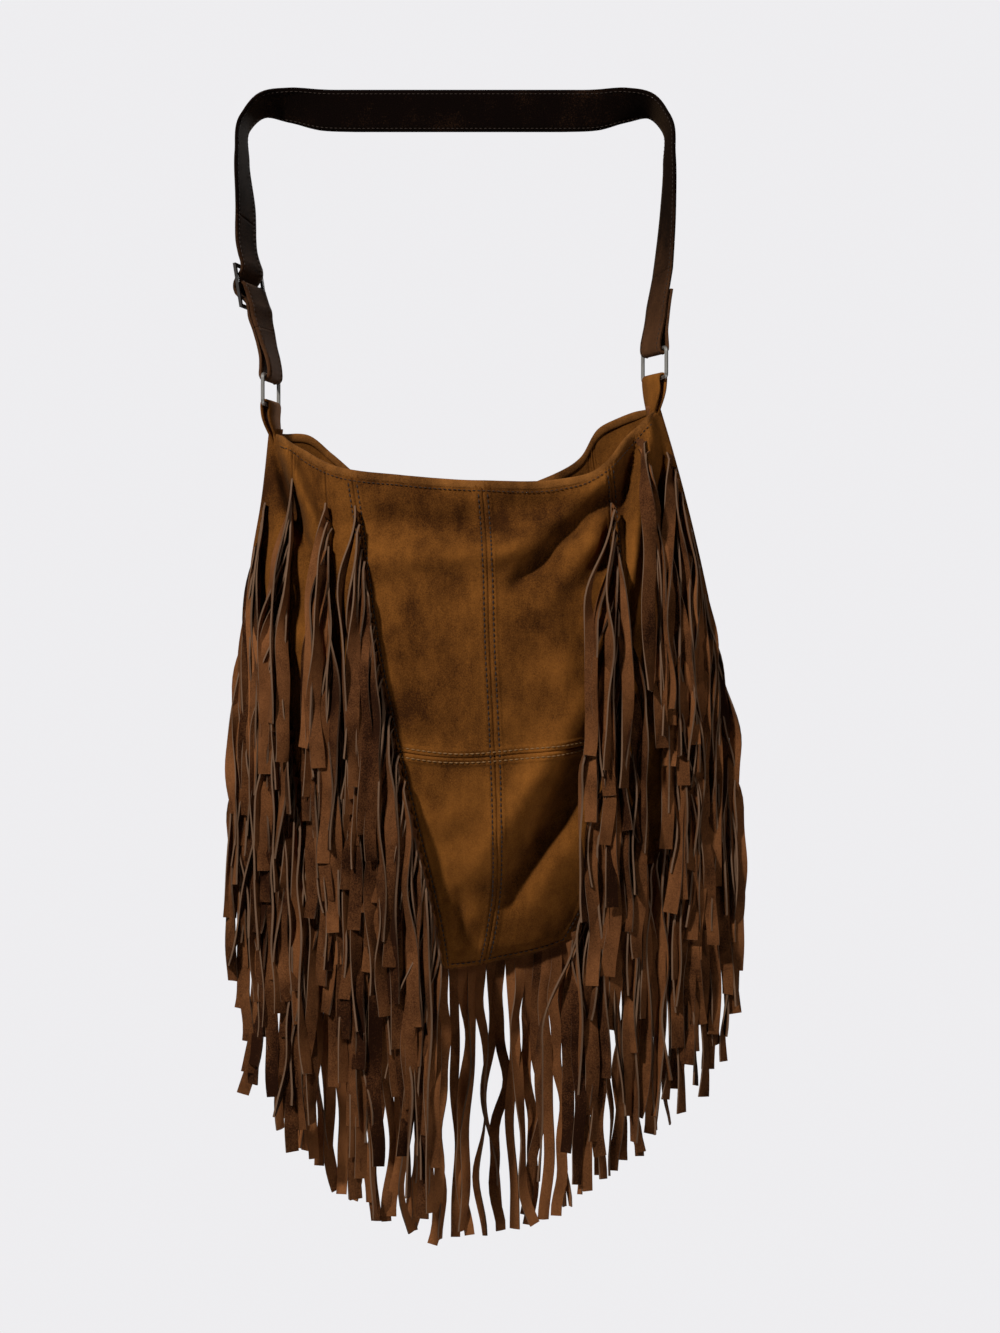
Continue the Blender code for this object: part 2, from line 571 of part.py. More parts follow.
def main():
    """Clears the scene and builds every piece."""
    for obj in list(bpy.data.objects):
        bpy.data.objects.remove(obj, do_unlink=True)
    make_body(FRONT_PIECES, back=False)
    make_body(BACK_PIECES, back=True)
    make_fringe()
    make_strap()
    make_ring("ring_left", RING_LEFT, BAR_LEFT)
    make_ring("ring_right", RING_RIGHT, BAR_RIGHT)
    make_tab("tab_left", RING_LEFT, BAR_LEFT)
    make_tab("tab_right", RING_RIGHT, BAR_RIGHT)
    make_slider()


main()
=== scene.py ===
import logging
import math
from dataclasses import dataclass, field
from enum import Enum

import bmesh
import bpy
import numpy as np
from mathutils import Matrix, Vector
from numpy.typing import ArrayLike, NDArray


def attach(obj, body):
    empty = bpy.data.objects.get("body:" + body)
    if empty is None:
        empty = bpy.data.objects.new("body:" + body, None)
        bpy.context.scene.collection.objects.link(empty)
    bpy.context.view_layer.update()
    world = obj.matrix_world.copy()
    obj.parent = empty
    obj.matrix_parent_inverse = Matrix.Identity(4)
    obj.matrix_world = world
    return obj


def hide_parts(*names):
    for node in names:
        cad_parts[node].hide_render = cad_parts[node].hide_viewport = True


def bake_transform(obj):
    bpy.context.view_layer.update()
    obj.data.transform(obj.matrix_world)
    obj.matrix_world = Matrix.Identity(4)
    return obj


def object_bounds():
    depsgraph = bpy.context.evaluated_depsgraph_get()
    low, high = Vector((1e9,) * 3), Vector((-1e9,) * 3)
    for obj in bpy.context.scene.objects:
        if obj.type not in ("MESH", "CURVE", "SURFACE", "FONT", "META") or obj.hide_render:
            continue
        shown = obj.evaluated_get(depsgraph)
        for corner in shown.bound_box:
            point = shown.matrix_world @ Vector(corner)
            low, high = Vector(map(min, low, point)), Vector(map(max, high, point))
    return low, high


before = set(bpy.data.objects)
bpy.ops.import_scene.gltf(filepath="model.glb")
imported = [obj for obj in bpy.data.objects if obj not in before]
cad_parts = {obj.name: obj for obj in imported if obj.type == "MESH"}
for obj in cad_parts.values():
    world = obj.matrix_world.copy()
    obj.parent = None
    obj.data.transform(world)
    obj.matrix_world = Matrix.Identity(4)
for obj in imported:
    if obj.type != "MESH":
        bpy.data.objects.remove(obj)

Array = NDArray[np.float64]
LOG = logging.getLogger("fringed_bag")
CAD_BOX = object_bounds()

SEAM_Y = -0.045          # the plane of the seam between front and back
SEAM_HALF = 0.0012       # half the gap between front and back there
PANEL = 0.0022           # thickness of a panel with its turned allowance
SUEDE = 0.0015           # thickness of one layer of suede
STITCH_PITCH = 0.0040
STRAP_WIDTH = 0.032
STRAP_THICK = 0.0022
RING_DROP = 0.0110       # from a ring's middle down to the middle of its lower bar
FRINGE_FRONT = CAD_BOX[0][1] - 0.0035   # how far forward strips hang freely
FRINGE_SLACK = 0.0045                   # and how much further the outermost are let out
UP = np.array([0.0, 0.0, 1.0])
BODY_MIDDLE = np.array([0.02, SEAM_Y, -0.42])


class Side(Enum):
    """Which face of the body a piece belongs to."""

    FRONT = "front"
    BACK = "back"


class Hang(Enum):
    """How the strips of a fringe row leave their seam."""

    STEEP = "steep"      # a steep seam on a panel: strips start edge-on and lie over each other
    EDGE = "edge"        # the steep sides of the perimeter
    FOOT = "foot"        # the bottom seam: strips start face-on, side by side


# ---- small helpers ------------------------------------------------------------------
def smooth_curve(points: ArrayLike, share: ArrayLike) -> Array:
    """Points of a smooth curve through `points`.

    Formula: cubic Hermite pieces between the points, with slopes from the differences of the
    neighbours over chord length.

    Args:
        points: the points, one row each.
        share: shares 0 to 1 of the chord length.

    Returns:
        One point for each share.
    """
    pts = np.asarray(points, dtype=float)
    knots = np.concatenate([[0.0], np.cumsum(np.linalg.norm(np.diff(pts, axis=0), axis=1))])
    knots /= knots[-1]
    slopes = np.gradient(pts, knots, axis=0)
    share = np.clip(np.asarray(share, dtype=float), 0.0, 1.0)
    k = np.clip(np.searchsorted(knots, share, side="right") - 1, 0, len(pts) - 2)
    h = (knots[k + 1] - knots[k])[..., None]
    t = (share - knots[k])[..., None] / h
    return ((2 * t**3 - 3 * t**2 + 1) * pts[k] + (t**3 - 2 * t**2 + t) * h * slopes[k]
            + (3 * t**2 - 2 * t**3) * pts[k + 1] + (t**3 - t**2) * h * slopes[k + 1])


def unit(vectors: Array) -> Array:
    """The vectors at length 1."""
    return vectors / np.maximum(np.linalg.norm(vectors, axis=-1, keepdims=True), 1e-12)


def ease(value: Array) -> Array:
    """A smooth step from 0 to 1: three times the square less twice the cube."""
    t = np.clip(value, 0.0, 1.0)
    return t * t * (3.0 - 2.0 * t)


def waves(x: Array, z: Array, size: float, seed: int, count: int = 9) -> Array:
    """Soft uneven relief, about -1 to 1.

    Formula: a mean of sines that run in many directions, with lengths round `size`.

    Args:
        x, z: where to read it.
        size: mean wavelength in metres.
        seed: picks the directions and phases.
        count: number of sines.

    Returns:
        The relief at each place.
    """
    rng = np.random.default_rng(seed)
    total = np.zeros(np.broadcast(x, z).shape)
    for _ in range(count):
        turn, phase = rng.uniform(0, math.pi), rng.uniform(0, 2 * math.pi)
        length = size * rng.uniform(0.6, 1.7)
        total += np.sin(2 * math.pi * (x * math.cos(turn) + z * math.sin(turn)) / length + phase)
    return total / math.sqrt(count) / 1.2


def turned_out(normals: Array, side: Side) -> Array:
    """The normals, each turned round if it points into the body on this side."""
    sign = 1.0 if side is Side.BACK else -1.0
    return normals * np.where(normals[..., 1:2] * sign < 0.0, -1.0, 1.0)


def grid_normals(points: Array, side: Side) -> Array:
    """Outward unit normals of a grid of points: the cross product of its two differences."""
    crossed = np.cross(np.gradient(points, axis=0), np.gradient(points, axis=1))
    return turned_out(unit(crossed), side)


def new_mesh(name: str, verts: Array, quads: Array, smooth: bool = True) -> bpy.types.Object:
    """Makes an object out of vertices and four-sided faces.

    Args:
        name: the piece's name.
        verts: vertices, one row each.
        quads: four vertex numbers for each face.
        smooth: whether its faces are shaded smooth.

    Returns:
        The new object, linked to the scene.
    """
    mesh = bpy.data.meshes.new(name)
    mesh.vertices.add(len(verts))
    mesh.vertices.foreach_set("co", np.ascontiguousarray(verts, dtype=np.float32).ravel())
    mesh.loops.add(quads.size)
    mesh.loops.foreach_set("vertex_index", np.ascontiguousarray(quads, dtype=np.int32).ravel())
    mesh.polygons.add(len(quads))
    mesh.polygons.foreach_set("loop_start", np.arange(0, quads.size, 4, dtype=np.int32))
    mesh.polygons.foreach_set("use_smooth", np.full(len(quads), smooth))
    mesh.update(calc_edges=True)
    mesh.validate()
    obj = bpy.data.objects.new(name, mesh)
    bpy.context.scene.collection.objects.link(obj)
    return obj


def add_values(obj: bpy.types.Object, name: str, values: Array, domain: str = "POINT") -> None:
    """Stores one number for each vertex, or for each face, under a name that materials read."""
    layer = obj.data.attributes.new(name, "FLOAT", domain)
    layer.data.foreach_set("value", np.ascontiguousarray(values, dtype=np.float32).ravel())


def sheet_faces(rows: int, cols: int) -> Array:
    """Faces of a closed sheet: a grid, the same grid behind it, and the four edges between them.

    Args:
        rows, cols: number of grid points each way.

    Returns:
        Four vertex numbers for each face, front grid first.
    """
    index = np.arange(rows * cols).reshape(rows, cols)
    front = np.stack([index[:-1, :-1], index[1:, :-1], index[1:, 1:], index[:-1, 1:]], axis=-1)
    front = front.reshape(-1, 4)
    loop = np.concatenate([index[:-1, 0], index[-1, :-1], index[:0:-1, -1], index[0, :0:-1]])
    after = np.roll(loop, -1)
    far = rows * cols
    rim = np.stack([after, loop, loop + far, after + far], axis=-1)
    return np.vstack([front, front[:, ::-1] + far, rim])


def tube_faces(stations: int, sides: int) -> Array:
    """Faces of a tube, without its ends.

    Args:
        stations: number of loops along it.
        sides: number of points in each loop.

    Returns:
        Four vertex numbers for each face.
    """
    ring = np.arange(stations * sides).reshape(stations, sides)
    nxt = np.roll(ring, -1, axis=1)
    return np.stack([ring[:-1], nxt[:-1], nxt[1:], ring[1:]], axis=-1).reshape(-1, 4)


# ---- the body's shape ------------------------------------------------------------------
@dataclass(frozen=True)
class Fold:
    """One crease or ridge: a line from (x, z) to (x, z), its half width and its height.

    A positive height stands out of the bag, a negative one sinks in.
    """

    start: tuple[float, float]
    end: tuple[float, float]
    half_width: float
    height: float

    def relief(self, x: Array, z: Array) -> Array:
        """The fold's height: a bell across its line, full at the middle, fading past both ends.

        Args:
            x, z: where to read it.

        Returns:
            The height at each place.
        """
        a, b = np.array(self.start), np.array(self.end)
        run = b - a
        length = float(np.hypot(*run))
        along = ((x - a[0]) * run[0] + (z - a[1]) * run[1]) / length
        across = ((x - a[0]) * run[1] - (z - a[1]) * run[0]) / length
        past = np.maximum(np.maximum(-along, along - length), 0.0) / (1.6 * self.half_width)
        taper = 0.55 + 0.45 * np.sin(math.pi * np.clip(along / length, 0.0, 1.0))
        return self.height * taper * np.exp(-(across / self.half_width) ** 2 - past**2)


@dataclass
class BodyShape:
    """The hanging body as a surface: outlines in X and Z, a bulge in Y, and folds on top."""

    mouth_front: list = field(default_factory=lambda: [
        (-0.1410, -0.2476), (-0.1250, -0.2577), (-0.0942, -0.2760), (-0.0422, -0.2847),
        (0.0168, -0.2891), (0.0757, -0.2877), (0.0980, -0.2820), (0.1093, -0.2743),
        (0.1245, -0.2566), (0.1500, -0.2289)])
    mouth_back: list = field(default_factory=lambda: [
        (-0.1410, -0.2476), (-0.1320, -0.2498), (-0.1130, -0.2510), (-0.0960, -0.2640),
        (-0.0700, -0.2850), (0.0100, -0.2950), (0.0600, -0.2840), (0.0921, -0.2664),
        (0.1070, -0.2440), (0.1220, -0.2369), (0.1500, -0.2289)])
    side_left: list = field(default_factory=lambda: [
        (-0.1410, -0.2476), (-0.1470, -0.3016), (-0.1545, -0.3466), (-0.1590, -0.4066),
        (-0.1590, -0.4516), (-0.1500, -0.5191), (-0.1298, -0.5716)])
    side_right: list = field(default_factory=lambda: [
        (0.1500, -0.2289), (0.1605, -0.2641), (0.1725, -0.3091), (0.1830, -0.3541),
        (0.1920, -0.3991), (0.1980, -0.4441), (0.1985, -0.4816), (0.1925, -0.5191),
        (0.1780, -0.5454), (0.1590, -0.5679)])
    bottom: list = field(default_factory=lambda: [
        (-0.1298, -0.5716), (-0.0960, -0.6129), (-0.0435, -0.6466), (-0.0098, -0.6526),
        (0.0315, -0.6466), (0.0803, -0.6324), (0.1065, -0.6129), (0.1365, -0.5866),
        (0.1590, -0.5679)])
    seams: dict = field(default_factory=lambda: {
        "left": (0.0, 0.0), "outer_left": (0.07, 0.15), "middle_left": (0.155, 0.30),
        "inner_left": (0.22, 0.435), "centre": (0.52, 0.52), "inner_right": (0.82, 0.70),
        "outer_right": (0.93, 0.86), "right": (1.0, 1.0)})
    cross_seam: float = 0.555
    hem_share: float = 0.0235
    top_z: float = -0.229
    bottom_z: float = -0.6526
    mouth_bulge: float = 0.034
    belly_bulge: float = 0.022
    back_share: float = 0.78
    edge_skin: float = 0.0011
    fold_depth: float = 1.25

    def __post_init__(self) -> None:
        """Reads the perimeter's two branches, and sets the folds of the front and the back."""
        low = smooth_curve(self.bottom, np.linspace(0.0, 1.0, 321))
        deepest = int(np.argmin(low[:, 1]))
        shares = np.linspace(0.0, 1.0, 241)
        left = np.vstack([smooth_curve(self.side_left, shares), low[1:deepest + 1]])
        right = np.vstack([smooth_curve(self.side_right, shares), low[deepest:-1][::-1]])
        self.left_edge, self.right_edge = left[::-1], right[::-1]
        self.front_folds = [
            Fold((0.025, -0.3110), (0.105, -0.3070), 0.0095, -0.0050),
            Fold((-0.066, -0.3200), (0.020, -0.3230), 0.0125, -0.0062),
            Fold((-0.060, -0.3500), (0.100, -0.3380), 0.0100, 0.0048),
            Fold((0.106, -0.3050), (0.046, -0.3640), 0.0060, -0.0085),
            Fold((0.098, -0.2960), (0.030, -0.3480), 0.0080, 0.0035),
            Fold((0.116, -0.3180), (0.064, -0.3800), 0.0090, 0.0040),
            Fold((0.114, -0.4720), (0.040, -0.5940), 0.0112, -0.0148),
            Fold((0.088, -0.4600), (0.016, -0.5700), 0.0120, 0.0060),
            Fold((0.002, -0.5960), (0.001, -0.6220), 0.0045, -0.0030),
            Fold((-0.060, -0.4950), (0.030, -0.4900), 0.0060, 0.0014),
            Fold((-0.050, -0.4000), (-0.020, -0.4650), 0.0120, -0.0022),
            Fold((-0.132, -0.2540), (-0.101, -0.3300), 0.0070, 0.0080),
            Fold((-0.122, -0.2640), (-0.088, -0.3350), 0.0060, -0.0032),
            Fold((-0.1395, -0.2600), (-0.1130, -0.3350), 0.0048, -0.0110),
            Fold((0.143, -0.2450), (0.126, -0.3900), 0.0070, 0.0080),
            Fold((0.134, -0.2560), (0.108, -0.3500), 0.0075, -0.0090),
            Fold((0.126, -0.2620), (0.098, -0.3050), 0.0075, 0.0040),
            Fold((0.155, -0.2700), (0.150, -0.3900), 0.0070, -0.0050),
            Fold((0.165, -0.3800), (0.150, -0.5200), 0.0120, 0.0050),
        ]
        self.back_folds = [
            Fold((0.120, -0.2560), (0.060, -0.3300), 0.0100, 0.0040),
            Fold((-0.110, -0.2750), (-0.050, -0.3500), 0.0110, 0.0040),
            Fold((-0.080, -0.3900), (0.070, -0.3750), 0.0120, 0.0030),
            Fold((0.090, -0.4700), (0.030, -0.5700), 0.0150, -0.0060),
            Fold((-0.100, -0.4500), (-0.040, -0.5700), 0.0140, -0.0050),
            Fold((-0.120, -0.3000), (-0.130, -0.4500), 0.0120, 0.0045),
        ]

    def across(self, x: Array, z: Array) -> Array:
        """Share of the body's width that lies left of a place.

        Args:
            x, z: the place.

        Returns:
            0 at the left outline to 1 at the right one.
        """
        x_left = np.interp(z, self.left_edge[:, 1], self.left_edge[:, 0])
        x_right = np.interp(z, self.right_edge[:, 1], self.right_edge[:, 0])
        return np.clip((x - x_left) / np.maximum(x_right - x_left, 1e-6), 0.0, 1.0)

    def bulge(self, x: Array, z: Array) -> Array:
        """How far the front stands ahead of the seam plane.

        Formula: a sine arch over the width there, times an arch over the height that closes at
        the bottom seam. It is 0 outside the outline.

        Args:
            x, z: where to read it.

        Returns:
            The depth at each place.
        """
        down = np.clip((self.top_z - z) / (self.top_z - self.bottom_z), 0.0, 1.0)
        arch = self.mouth_bulge + self.belly_bulge * np.sin(np.pi * down)
        return arch * np.sqrt(1.0 - down**6) * np.sin(np.pi * self.across(x, z)) ** 0.75

    def relief(self, x: Array, z: Array, side: Side) -> Array:
        """Folds and soft unevenness on top of the bulge, fading to nothing at the perimeter.

        Args:
            x, z: where to read it.
            side: front or back.

        Returns:
            The height over the bulge at each place.
        """
        folds = self.front_folds if side is Side.FRONT else self.back_folds
        seed = 3 if side is Side.FRONT else 11
        total = self.fold_depth * sum(f.relief(x, z) for f in folds)
        total = total + 0.0011 * waves(x, z, 0.060, seed) + 0.00035 * waves(x, z, 0.022, seed + 1)
        share = self.across(x, z)
        return total * ease(np.minimum(share, 1.0 - share) / 0.05)

    def hanging(self, x: Array, z: Array) -> Array:
        """The bulge that something hanging at (x, z) clears: the greatest straight above it."""
        above = z[..., None] + (self.top_z - z[..., None]) * np.linspace(0.0, 1.0, 24)
        return self.bulge(np.broadcast_to(x[..., None], above.shape), above).max(axis=-1)

    def plane(self, u: Array, v: Array, side: Side) -> Array:
        """X and Z of the body: its four outlines blended as a patch.

        Formula: the blend of mouth and bottom, plus the blend of the two sides, less the blend of
        the four corners, which both of them hold.

        Args:
            u: share of the width, 0 at the left seam.
            v: share of the height, 0 at the mouth.
            side: front or back, whose mouths differ.

        Returns:
            X and Z at each place.
        """
        u, v = np.broadcast_arrays(np.asarray(u, dtype=float), np.asarray(v, dtype=float))
        top = self.mouth_back if side is Side.BACK else self.mouth_front
        a, b, c, d = (np.array(p) for p in (top[0], top[-1], self.bottom[0], self.bottom[-1]))
        uu, vv = u[..., None], v[..., None]
        return ((1 - vv) * smooth_curve(top, u) + vv * smooth_curve(self.bottom, u)
                + (1 - uu) * smooth_curve(self.side_left, v) + uu * smooth_curve(self.side_right, v)
                - (1 - uu) * (1 - vv) * a - uu * (1 - vv) * b - (1 - uu) * vv * c - uu * vv * d)

    def point(self, u: Array, v: Array, side: Side, folded: bool = True) -> Array:
        """Outer surface of the body at shares u across and v down.

        Args:
            u: share of the width, 0 at the left seam.
            v: share of the height, 0 at the mouth.
            side: front or back.
            folded: whether the folds are on it.

        Returns:
            World points.
        """
        flat = self.plane(u, v, side)
        x, z = flat[..., 0], flat[..., 1]
        depth = self.bulge(x, z)
        extra = self.relief(x, z, side) if folded else 0.0
        inner = ease(np.minimum(u, 1.0 - u) / 0.05) * ease((1.0 - v) / 0.04)
        skin = self.edge_skin + (SEAM_HALF + PANEL - self.edge_skin) * inner
        if side is Side.BACK:
            y = SEAM_Y + skin + self.back_share * depth + extra
        else:
            y = SEAM_Y - skin - depth - extra
        return np.stack([x, y, z], axis=-1)

    def seam_u(self, name: str, v: Array) -> Array:
        """Share of the width at which a named seam lies at height v."""
        top, bottom = self.seams[name]
        return top + (bottom - top) * np.asarray(v, dtype=float)


# ---- materials ------------------------------------------------------------------
def socket(group: bpy.types.NodeTree, name: str, kind: str, into: bool,
           value: float | tuple | None = None) -> None:
    """Adds one named input or output to a node group.

    Args:
        group: the node group.
        name: the socket's name.
        kind: Float, Color or Vector.
        into: whether it is an input.
        value: an input's value where nothing is linked to it.
    """
    made = group.interface.new_socket(name=name, in_out="INPUT" if into else "OUTPUT",
                                      socket_type=f"NodeSocket{kind}")
    if value is not None:
        made.default_value = value


def node(tree: bpy.types.NodeTree, kind: str, **settings: object) -> bpy.types.Node:
    """Adds one node and sets its properties.

    Args:
        tree: where it goes.
        kind: the node's type.
        settings: the properties to set.

    Returns:
        The node.
    """
    made = tree.nodes.new(kind)
    for key, value in settings.items():
        setattr(made, key, value)
    return made


def math_node(tree: bpy.types.NodeTree, operation: str, a: object, b: object = None,
              clamp: bool = False) -> bpy.types.NodeSocket:
    """Adds a Math node.

    Args:
        tree: where it goes.
        operation: what it works out.
        a, b: its inputs, sockets or plain numbers.
        clamp: whether its result is kept between 0 and 1.

    Returns:
        Its output.
    """
    made = node(tree, "ShaderNodeMath", operation=operation, use_clamp=clamp)
    for index, value in enumerate((a, b)):
        if isinstance(value, bpy.types.NodeSocket):
            tree.links.new(value, made.inputs[index])
        elif value is not None:
            made.inputs[index].default_value = value
    return made.outputs[0]


def mix_colour(tree: bpy.types.NodeTree, share: bpy.types.NodeSocket, a: object,
               b: object) -> bpy.types.NodeSocket:
    """Adds a colour Mix node.

    Args:
        tree: where it goes.
        share: how much of b shows.
        a, b: the two colours, sockets or plain values.

    Returns:
        Its output.
    """
    made = node(tree, "ShaderNodeMix", data_type="RGBA")
    for index, value in ((0, share), (6, a), (7, b)):
        if isinstance(value, bpy.types.NodeSocket):
            tree.links.new(value, made.inputs[index])
        else:
            made.inputs[index].default_value = value
    return made.outputs[2]


def noise(tree: bpy.types.NodeTree, where: bpy.types.NodeSocket, scale: float, detail: float,
          roughness: float = 0.55) -> bpy.types.NodeSocket:
    """Adds a Noise texture.

    Args:
        tree: where it goes.
        where: the coordinates that it is read at.
        scale: how many waves there are in a metre.
        detail: how many finer layers it has.
        roughness: how strong those layers are.

    Returns:
        Its value, 0 to 1.
    """
    made = node(tree, "ShaderNodeTexNoise")
    made.inputs["Scale"].default_value = scale
    made.inputs["Detail"].default_value = detail
    made.inputs["Roughness"].default_value = roughness
    tree.links.new(where, made.inputs["Vector"])
    return made.outputs["Fac"]


def suede_group() -> bpy.types.NodeTree:
    """The nap of suede, shared by every suede material.

    Broad patches where the nap lies one way or the other, cloudy handling marks, fine fibres, and
    a bump that follows them. Inputs give the two colours and the strengths.

    Returns:
        The group, with the outputs Color, Roughness and Normal.
    """
    group = bpy.data.node_groups.new("SuedeNap", "ShaderNodeTree")
    socket(group, "Dark", "Color", True, (0.05, 0.018, 0.006, 1.0))
    socket(group, "Light", "Color", True, (0.16, 0.065, 0.018, 1.0))
    socket(group, "Tone", "Float", True, 0.5)
    socket(group, "Patches", "Float", True, 1.0)
    socket(group, "Fibre", "Float", True, 1.0)
    socket(group, "Color", "Color", False)
    socket(group, "Roughness", "Float", False)
    socket(group, "Normal", "Vector", False)
    inputs, outputs = node(group, "NodeGroupInput"), node(group, "NodeGroupOutput")
    where = node(group, "ShaderNodeTexCoord").outputs["Object"]
    stretch = node(group, "ShaderNodeMapping")
    stretch.inputs["Scale"].default_value = (1.0, 1.0, 0.45)
    group.links.new(where, stretch.inputs["Vector"])
    broad = noise(group, where, 16.0, 3.0, 0.6)
    cloud = noise(group, stretch.outputs[0], 70.0, 4.0, 0.65)
    fine = noise(group, where, 900.0, 3.0, 0.7)
    speck = noise(group, stretch.outputs[0], 2600.0, 2.0, 0.6)
    mark = math_node(group, "MULTIPLY", math_node(group, "SUBTRACT", broad, 0.5), 1.5)
    mark = math_node(group, "ADD", mark, math_node(
        group, "MULTIPLY", math_node(group, "SUBTRACT", cloud, 0.5), 0.9))
    mark = math_node(group, "MULTIPLY", mark, inputs.outputs["Patches"])
    grain = math_node(group, "MULTIPLY", math_node(group, "SUBTRACT", fine, 0.5), 0.9)
    grain = math_node(group, "ADD", grain, math_node(
        group, "MULTIPLY", math_node(group, "SUBTRACT", speck, 0.5), 0.6))
    grain = math_node(group, "MULTIPLY", grain, inputs.outputs["Fibre"])
    level = math_node(group, "ADD", math_node(group, "ADD", mark, grain), inputs.outputs["Tone"],
                      clamp=True)
    colour = mix_colour(group, level, inputs.outputs["Dark"], inputs.outputs["Light"])
    bump = node(group, "ShaderNodeBump")
    bump.inputs["Strength"].default_value = 0.35
    bump.inputs["Distance"].default_value = 0.0011
    height = math_node(group, "ADD", math_node(group, "MULTIPLY", cloud, 0.5), fine)
    group.links.new(math_node(group, "ADD", height, speck), bump.inputs["Height"])
    group.links.new(colour, outputs.inputs["Color"])
    group.links.new(math_node(group, "SUBTRACT", 1.0, math_node(
        group, "MULTIPLY", math_node(group, "ABSOLUTE", mark), 0.16)), outputs.inputs["Roughness"])
    group.links.new(bump.outputs["Normal"], outputs.inputs["Normal"])
    return group


def wear_group() -> bpy.types.NodeTree:
    """Rubbed spots and fine scratches of plated metal, as a mask from two noises.

    Returns:
        The group, with the output Mask.
    """
    group = bpy.data.node_groups.new("PlatingWear", "ShaderNodeTree")
    socket(group, "Amount", "Float", True, 0.5)
    socket(group, "Mask", "Float", False)
    inputs, outputs = node(group, "NodeGroupInput"), node(group, "NodeGroupOutput")
    where = node(group, "ShaderNodeTexCoord").outputs["Object"]
    spots = noise(group, where, 320.0, 4.0)
    fine = noise(group, where, 1800.0, 2.0)
    both = math_node(group, "ADD", math_node(group, "MULTIPLY", spots, 0.7),
                     math_node(group, "MULTIPLY", fine, 0.3))
    group.links.new(math_node(group, "MULTIPLY", both, inputs.outputs["Amount"]),
                    outputs.inputs["Mask"])
    return group


@dataclass(frozen=True)
class SuedeFinish:
    """A suede: its darkest and lightest colour, linear, and how uneven and how velvety it is.

    `edge` colours the faces that are marked as raw cuts. `varied` lets a piece's own tone values
    lighten and darken it; on the panels, the fringe and the strap those values also hold painted
    light and shade.
    """

    name: str
    dark: tuple[float, float, float]
    light: tuple[float, float, float]
    tone: float = 0.5
    patches: float = 1.0
    fibre: float = 1.0
    sheen: float = 0.06
    edge: tuple[float, float, float] | None = None
    varied: bool = False

    def build(self, nap: bpy.types.NodeTree) -> bpy.types.Material:
        """Makes the material.

        Args:
            nap: the nap's node group.

        Returns:
            The material.
        """
        mat = bpy.data.materials.new(self.name)
        mat.use_nodes = True
        tree = mat.node_tree
        shader = tree.nodes["Principled BSDF"]
        group = node(tree, "ShaderNodeGroup", node_tree=nap)
        group.inputs["Dark"].default_value = (*self.dark, 1.0)
        group.inputs["Light"].default_value = (*self.light, 1.0)
        group.inputs["Tone"].default_value = self.tone
        group.inputs["Patches"].default_value = self.patches
        group.inputs["Fibre"].default_value = self.fibre
        colour = group.outputs["Color"]
        if self.varied:
            tone = node(tree, "ShaderNodeAttribute", attribute_name="tone").outputs["Fac"]
            tree.links.new(math_node(tree, "ADD", tone, self.tone - 0.5), group.inputs["Tone"])
        if self.edge is not None:
            raw = node(tree, "ShaderNodeAttribute", attribute_name="raw").outputs["Fac"]
            colour = mix_colour(tree, raw, colour, (*self.edge, 1.0))
        tree.links.new(colour, shader.inputs["Base Color"])
        tree.links.new(group.outputs["Roughness"], shader.inputs["Roughness"])
        tree.links.new(group.outputs["Normal"], shader.inputs["Normal"])
        shader.inputs["Specular IOR Level"].default_value = 0.05
        shader.inputs["Sheen Weight"].default_value = self.sheen
        shader.inputs["Sheen Roughness"].default_value = 0.45
        shader.inputs["Sheen Tint"].default_value = (0.62, 0.36, 0.18, 1.0)
        return mat


@dataclass(frozen=True)
class ThreadFinish:
    """Sewing thread: one colour with a fine twist in its bump."""

    name: str
    colour: tuple[float, float, float]

    def build(self) -> bpy.types.Material:
        """Makes the material, with a noise that varies the colour from stitch to stitch.

        Returns:
            The material.
        """
        mat = bpy.data.materials.new(self.name)
        mat.use_nodes = True
        tree = mat.node_tree
        shader = tree.nodes["Principled BSDF"]
        where = node(tree, "ShaderNodeTexCoord").outputs["Object"]
        spots = noise(tree, where, 260.0, 2.0)
        dark = tuple(0.6 * c for c in self.colour)
        tree.links.new(mix_colour(tree, spots, (*dark, 1.0), (*self.colour, 1.0)),
                       shader.inputs["Base Color"])
        bump = node(tree, "ShaderNodeBump")
        bump.inputs["Strength"].default_value = 0.4
        bump.inputs["Distance"].default_value = 0.0002
        tree.links.new(noise(tree, where, 3000.0, 1.0), bump.inputs["Height"])
        tree.links.new(bump.outputs["Normal"], shader.inputs["Normal"])
        shader.inputs["Roughness"].default_value = 0.75
        return mat


@dataclass(frozen=True)
class MetalFinish:
    """Plated metal: clean and worn colour, linear, with the roughness of each."""

    name: str
    clean: tuple[float, float, float]
    worn: tuple[float, float, float]
    roughness: tuple[float, float] = (0.22, 0.5)

    def build(self, wear: bpy.types.NodeTree) -> bpy.types.Material:
        """Makes the material, with the wear mask between its two colours and roughnesses.

        Args:
            wear: the wear's node group.

        Returns:
            The material.
        """
        mat = bpy.data.materials.new(self.name)
        mat.use_nodes = True
        tree = mat.node_tree
        shader = tree.nodes["Principled BSDF"]
        group = node(tree, "ShaderNodeGroup", node_tree=wear)
        group.inputs["Amount"].default_value = 0.9
        mask = group.outputs["Mask"]
        tree.links.new(mix_colour(tree, mask, (*self.clean, 1.0), (*self.worn, 1.0)),
                       shader.inputs["Base Color"])
        low, high = self.roughness
        tree.links.new(math_node(tree, "ADD", math_node(tree, "MULTIPLY", mask, high - low), low),
                       shader.inputs["Roughness"])
        shader.inputs["Metallic"].default_value = 1.0
        return mat


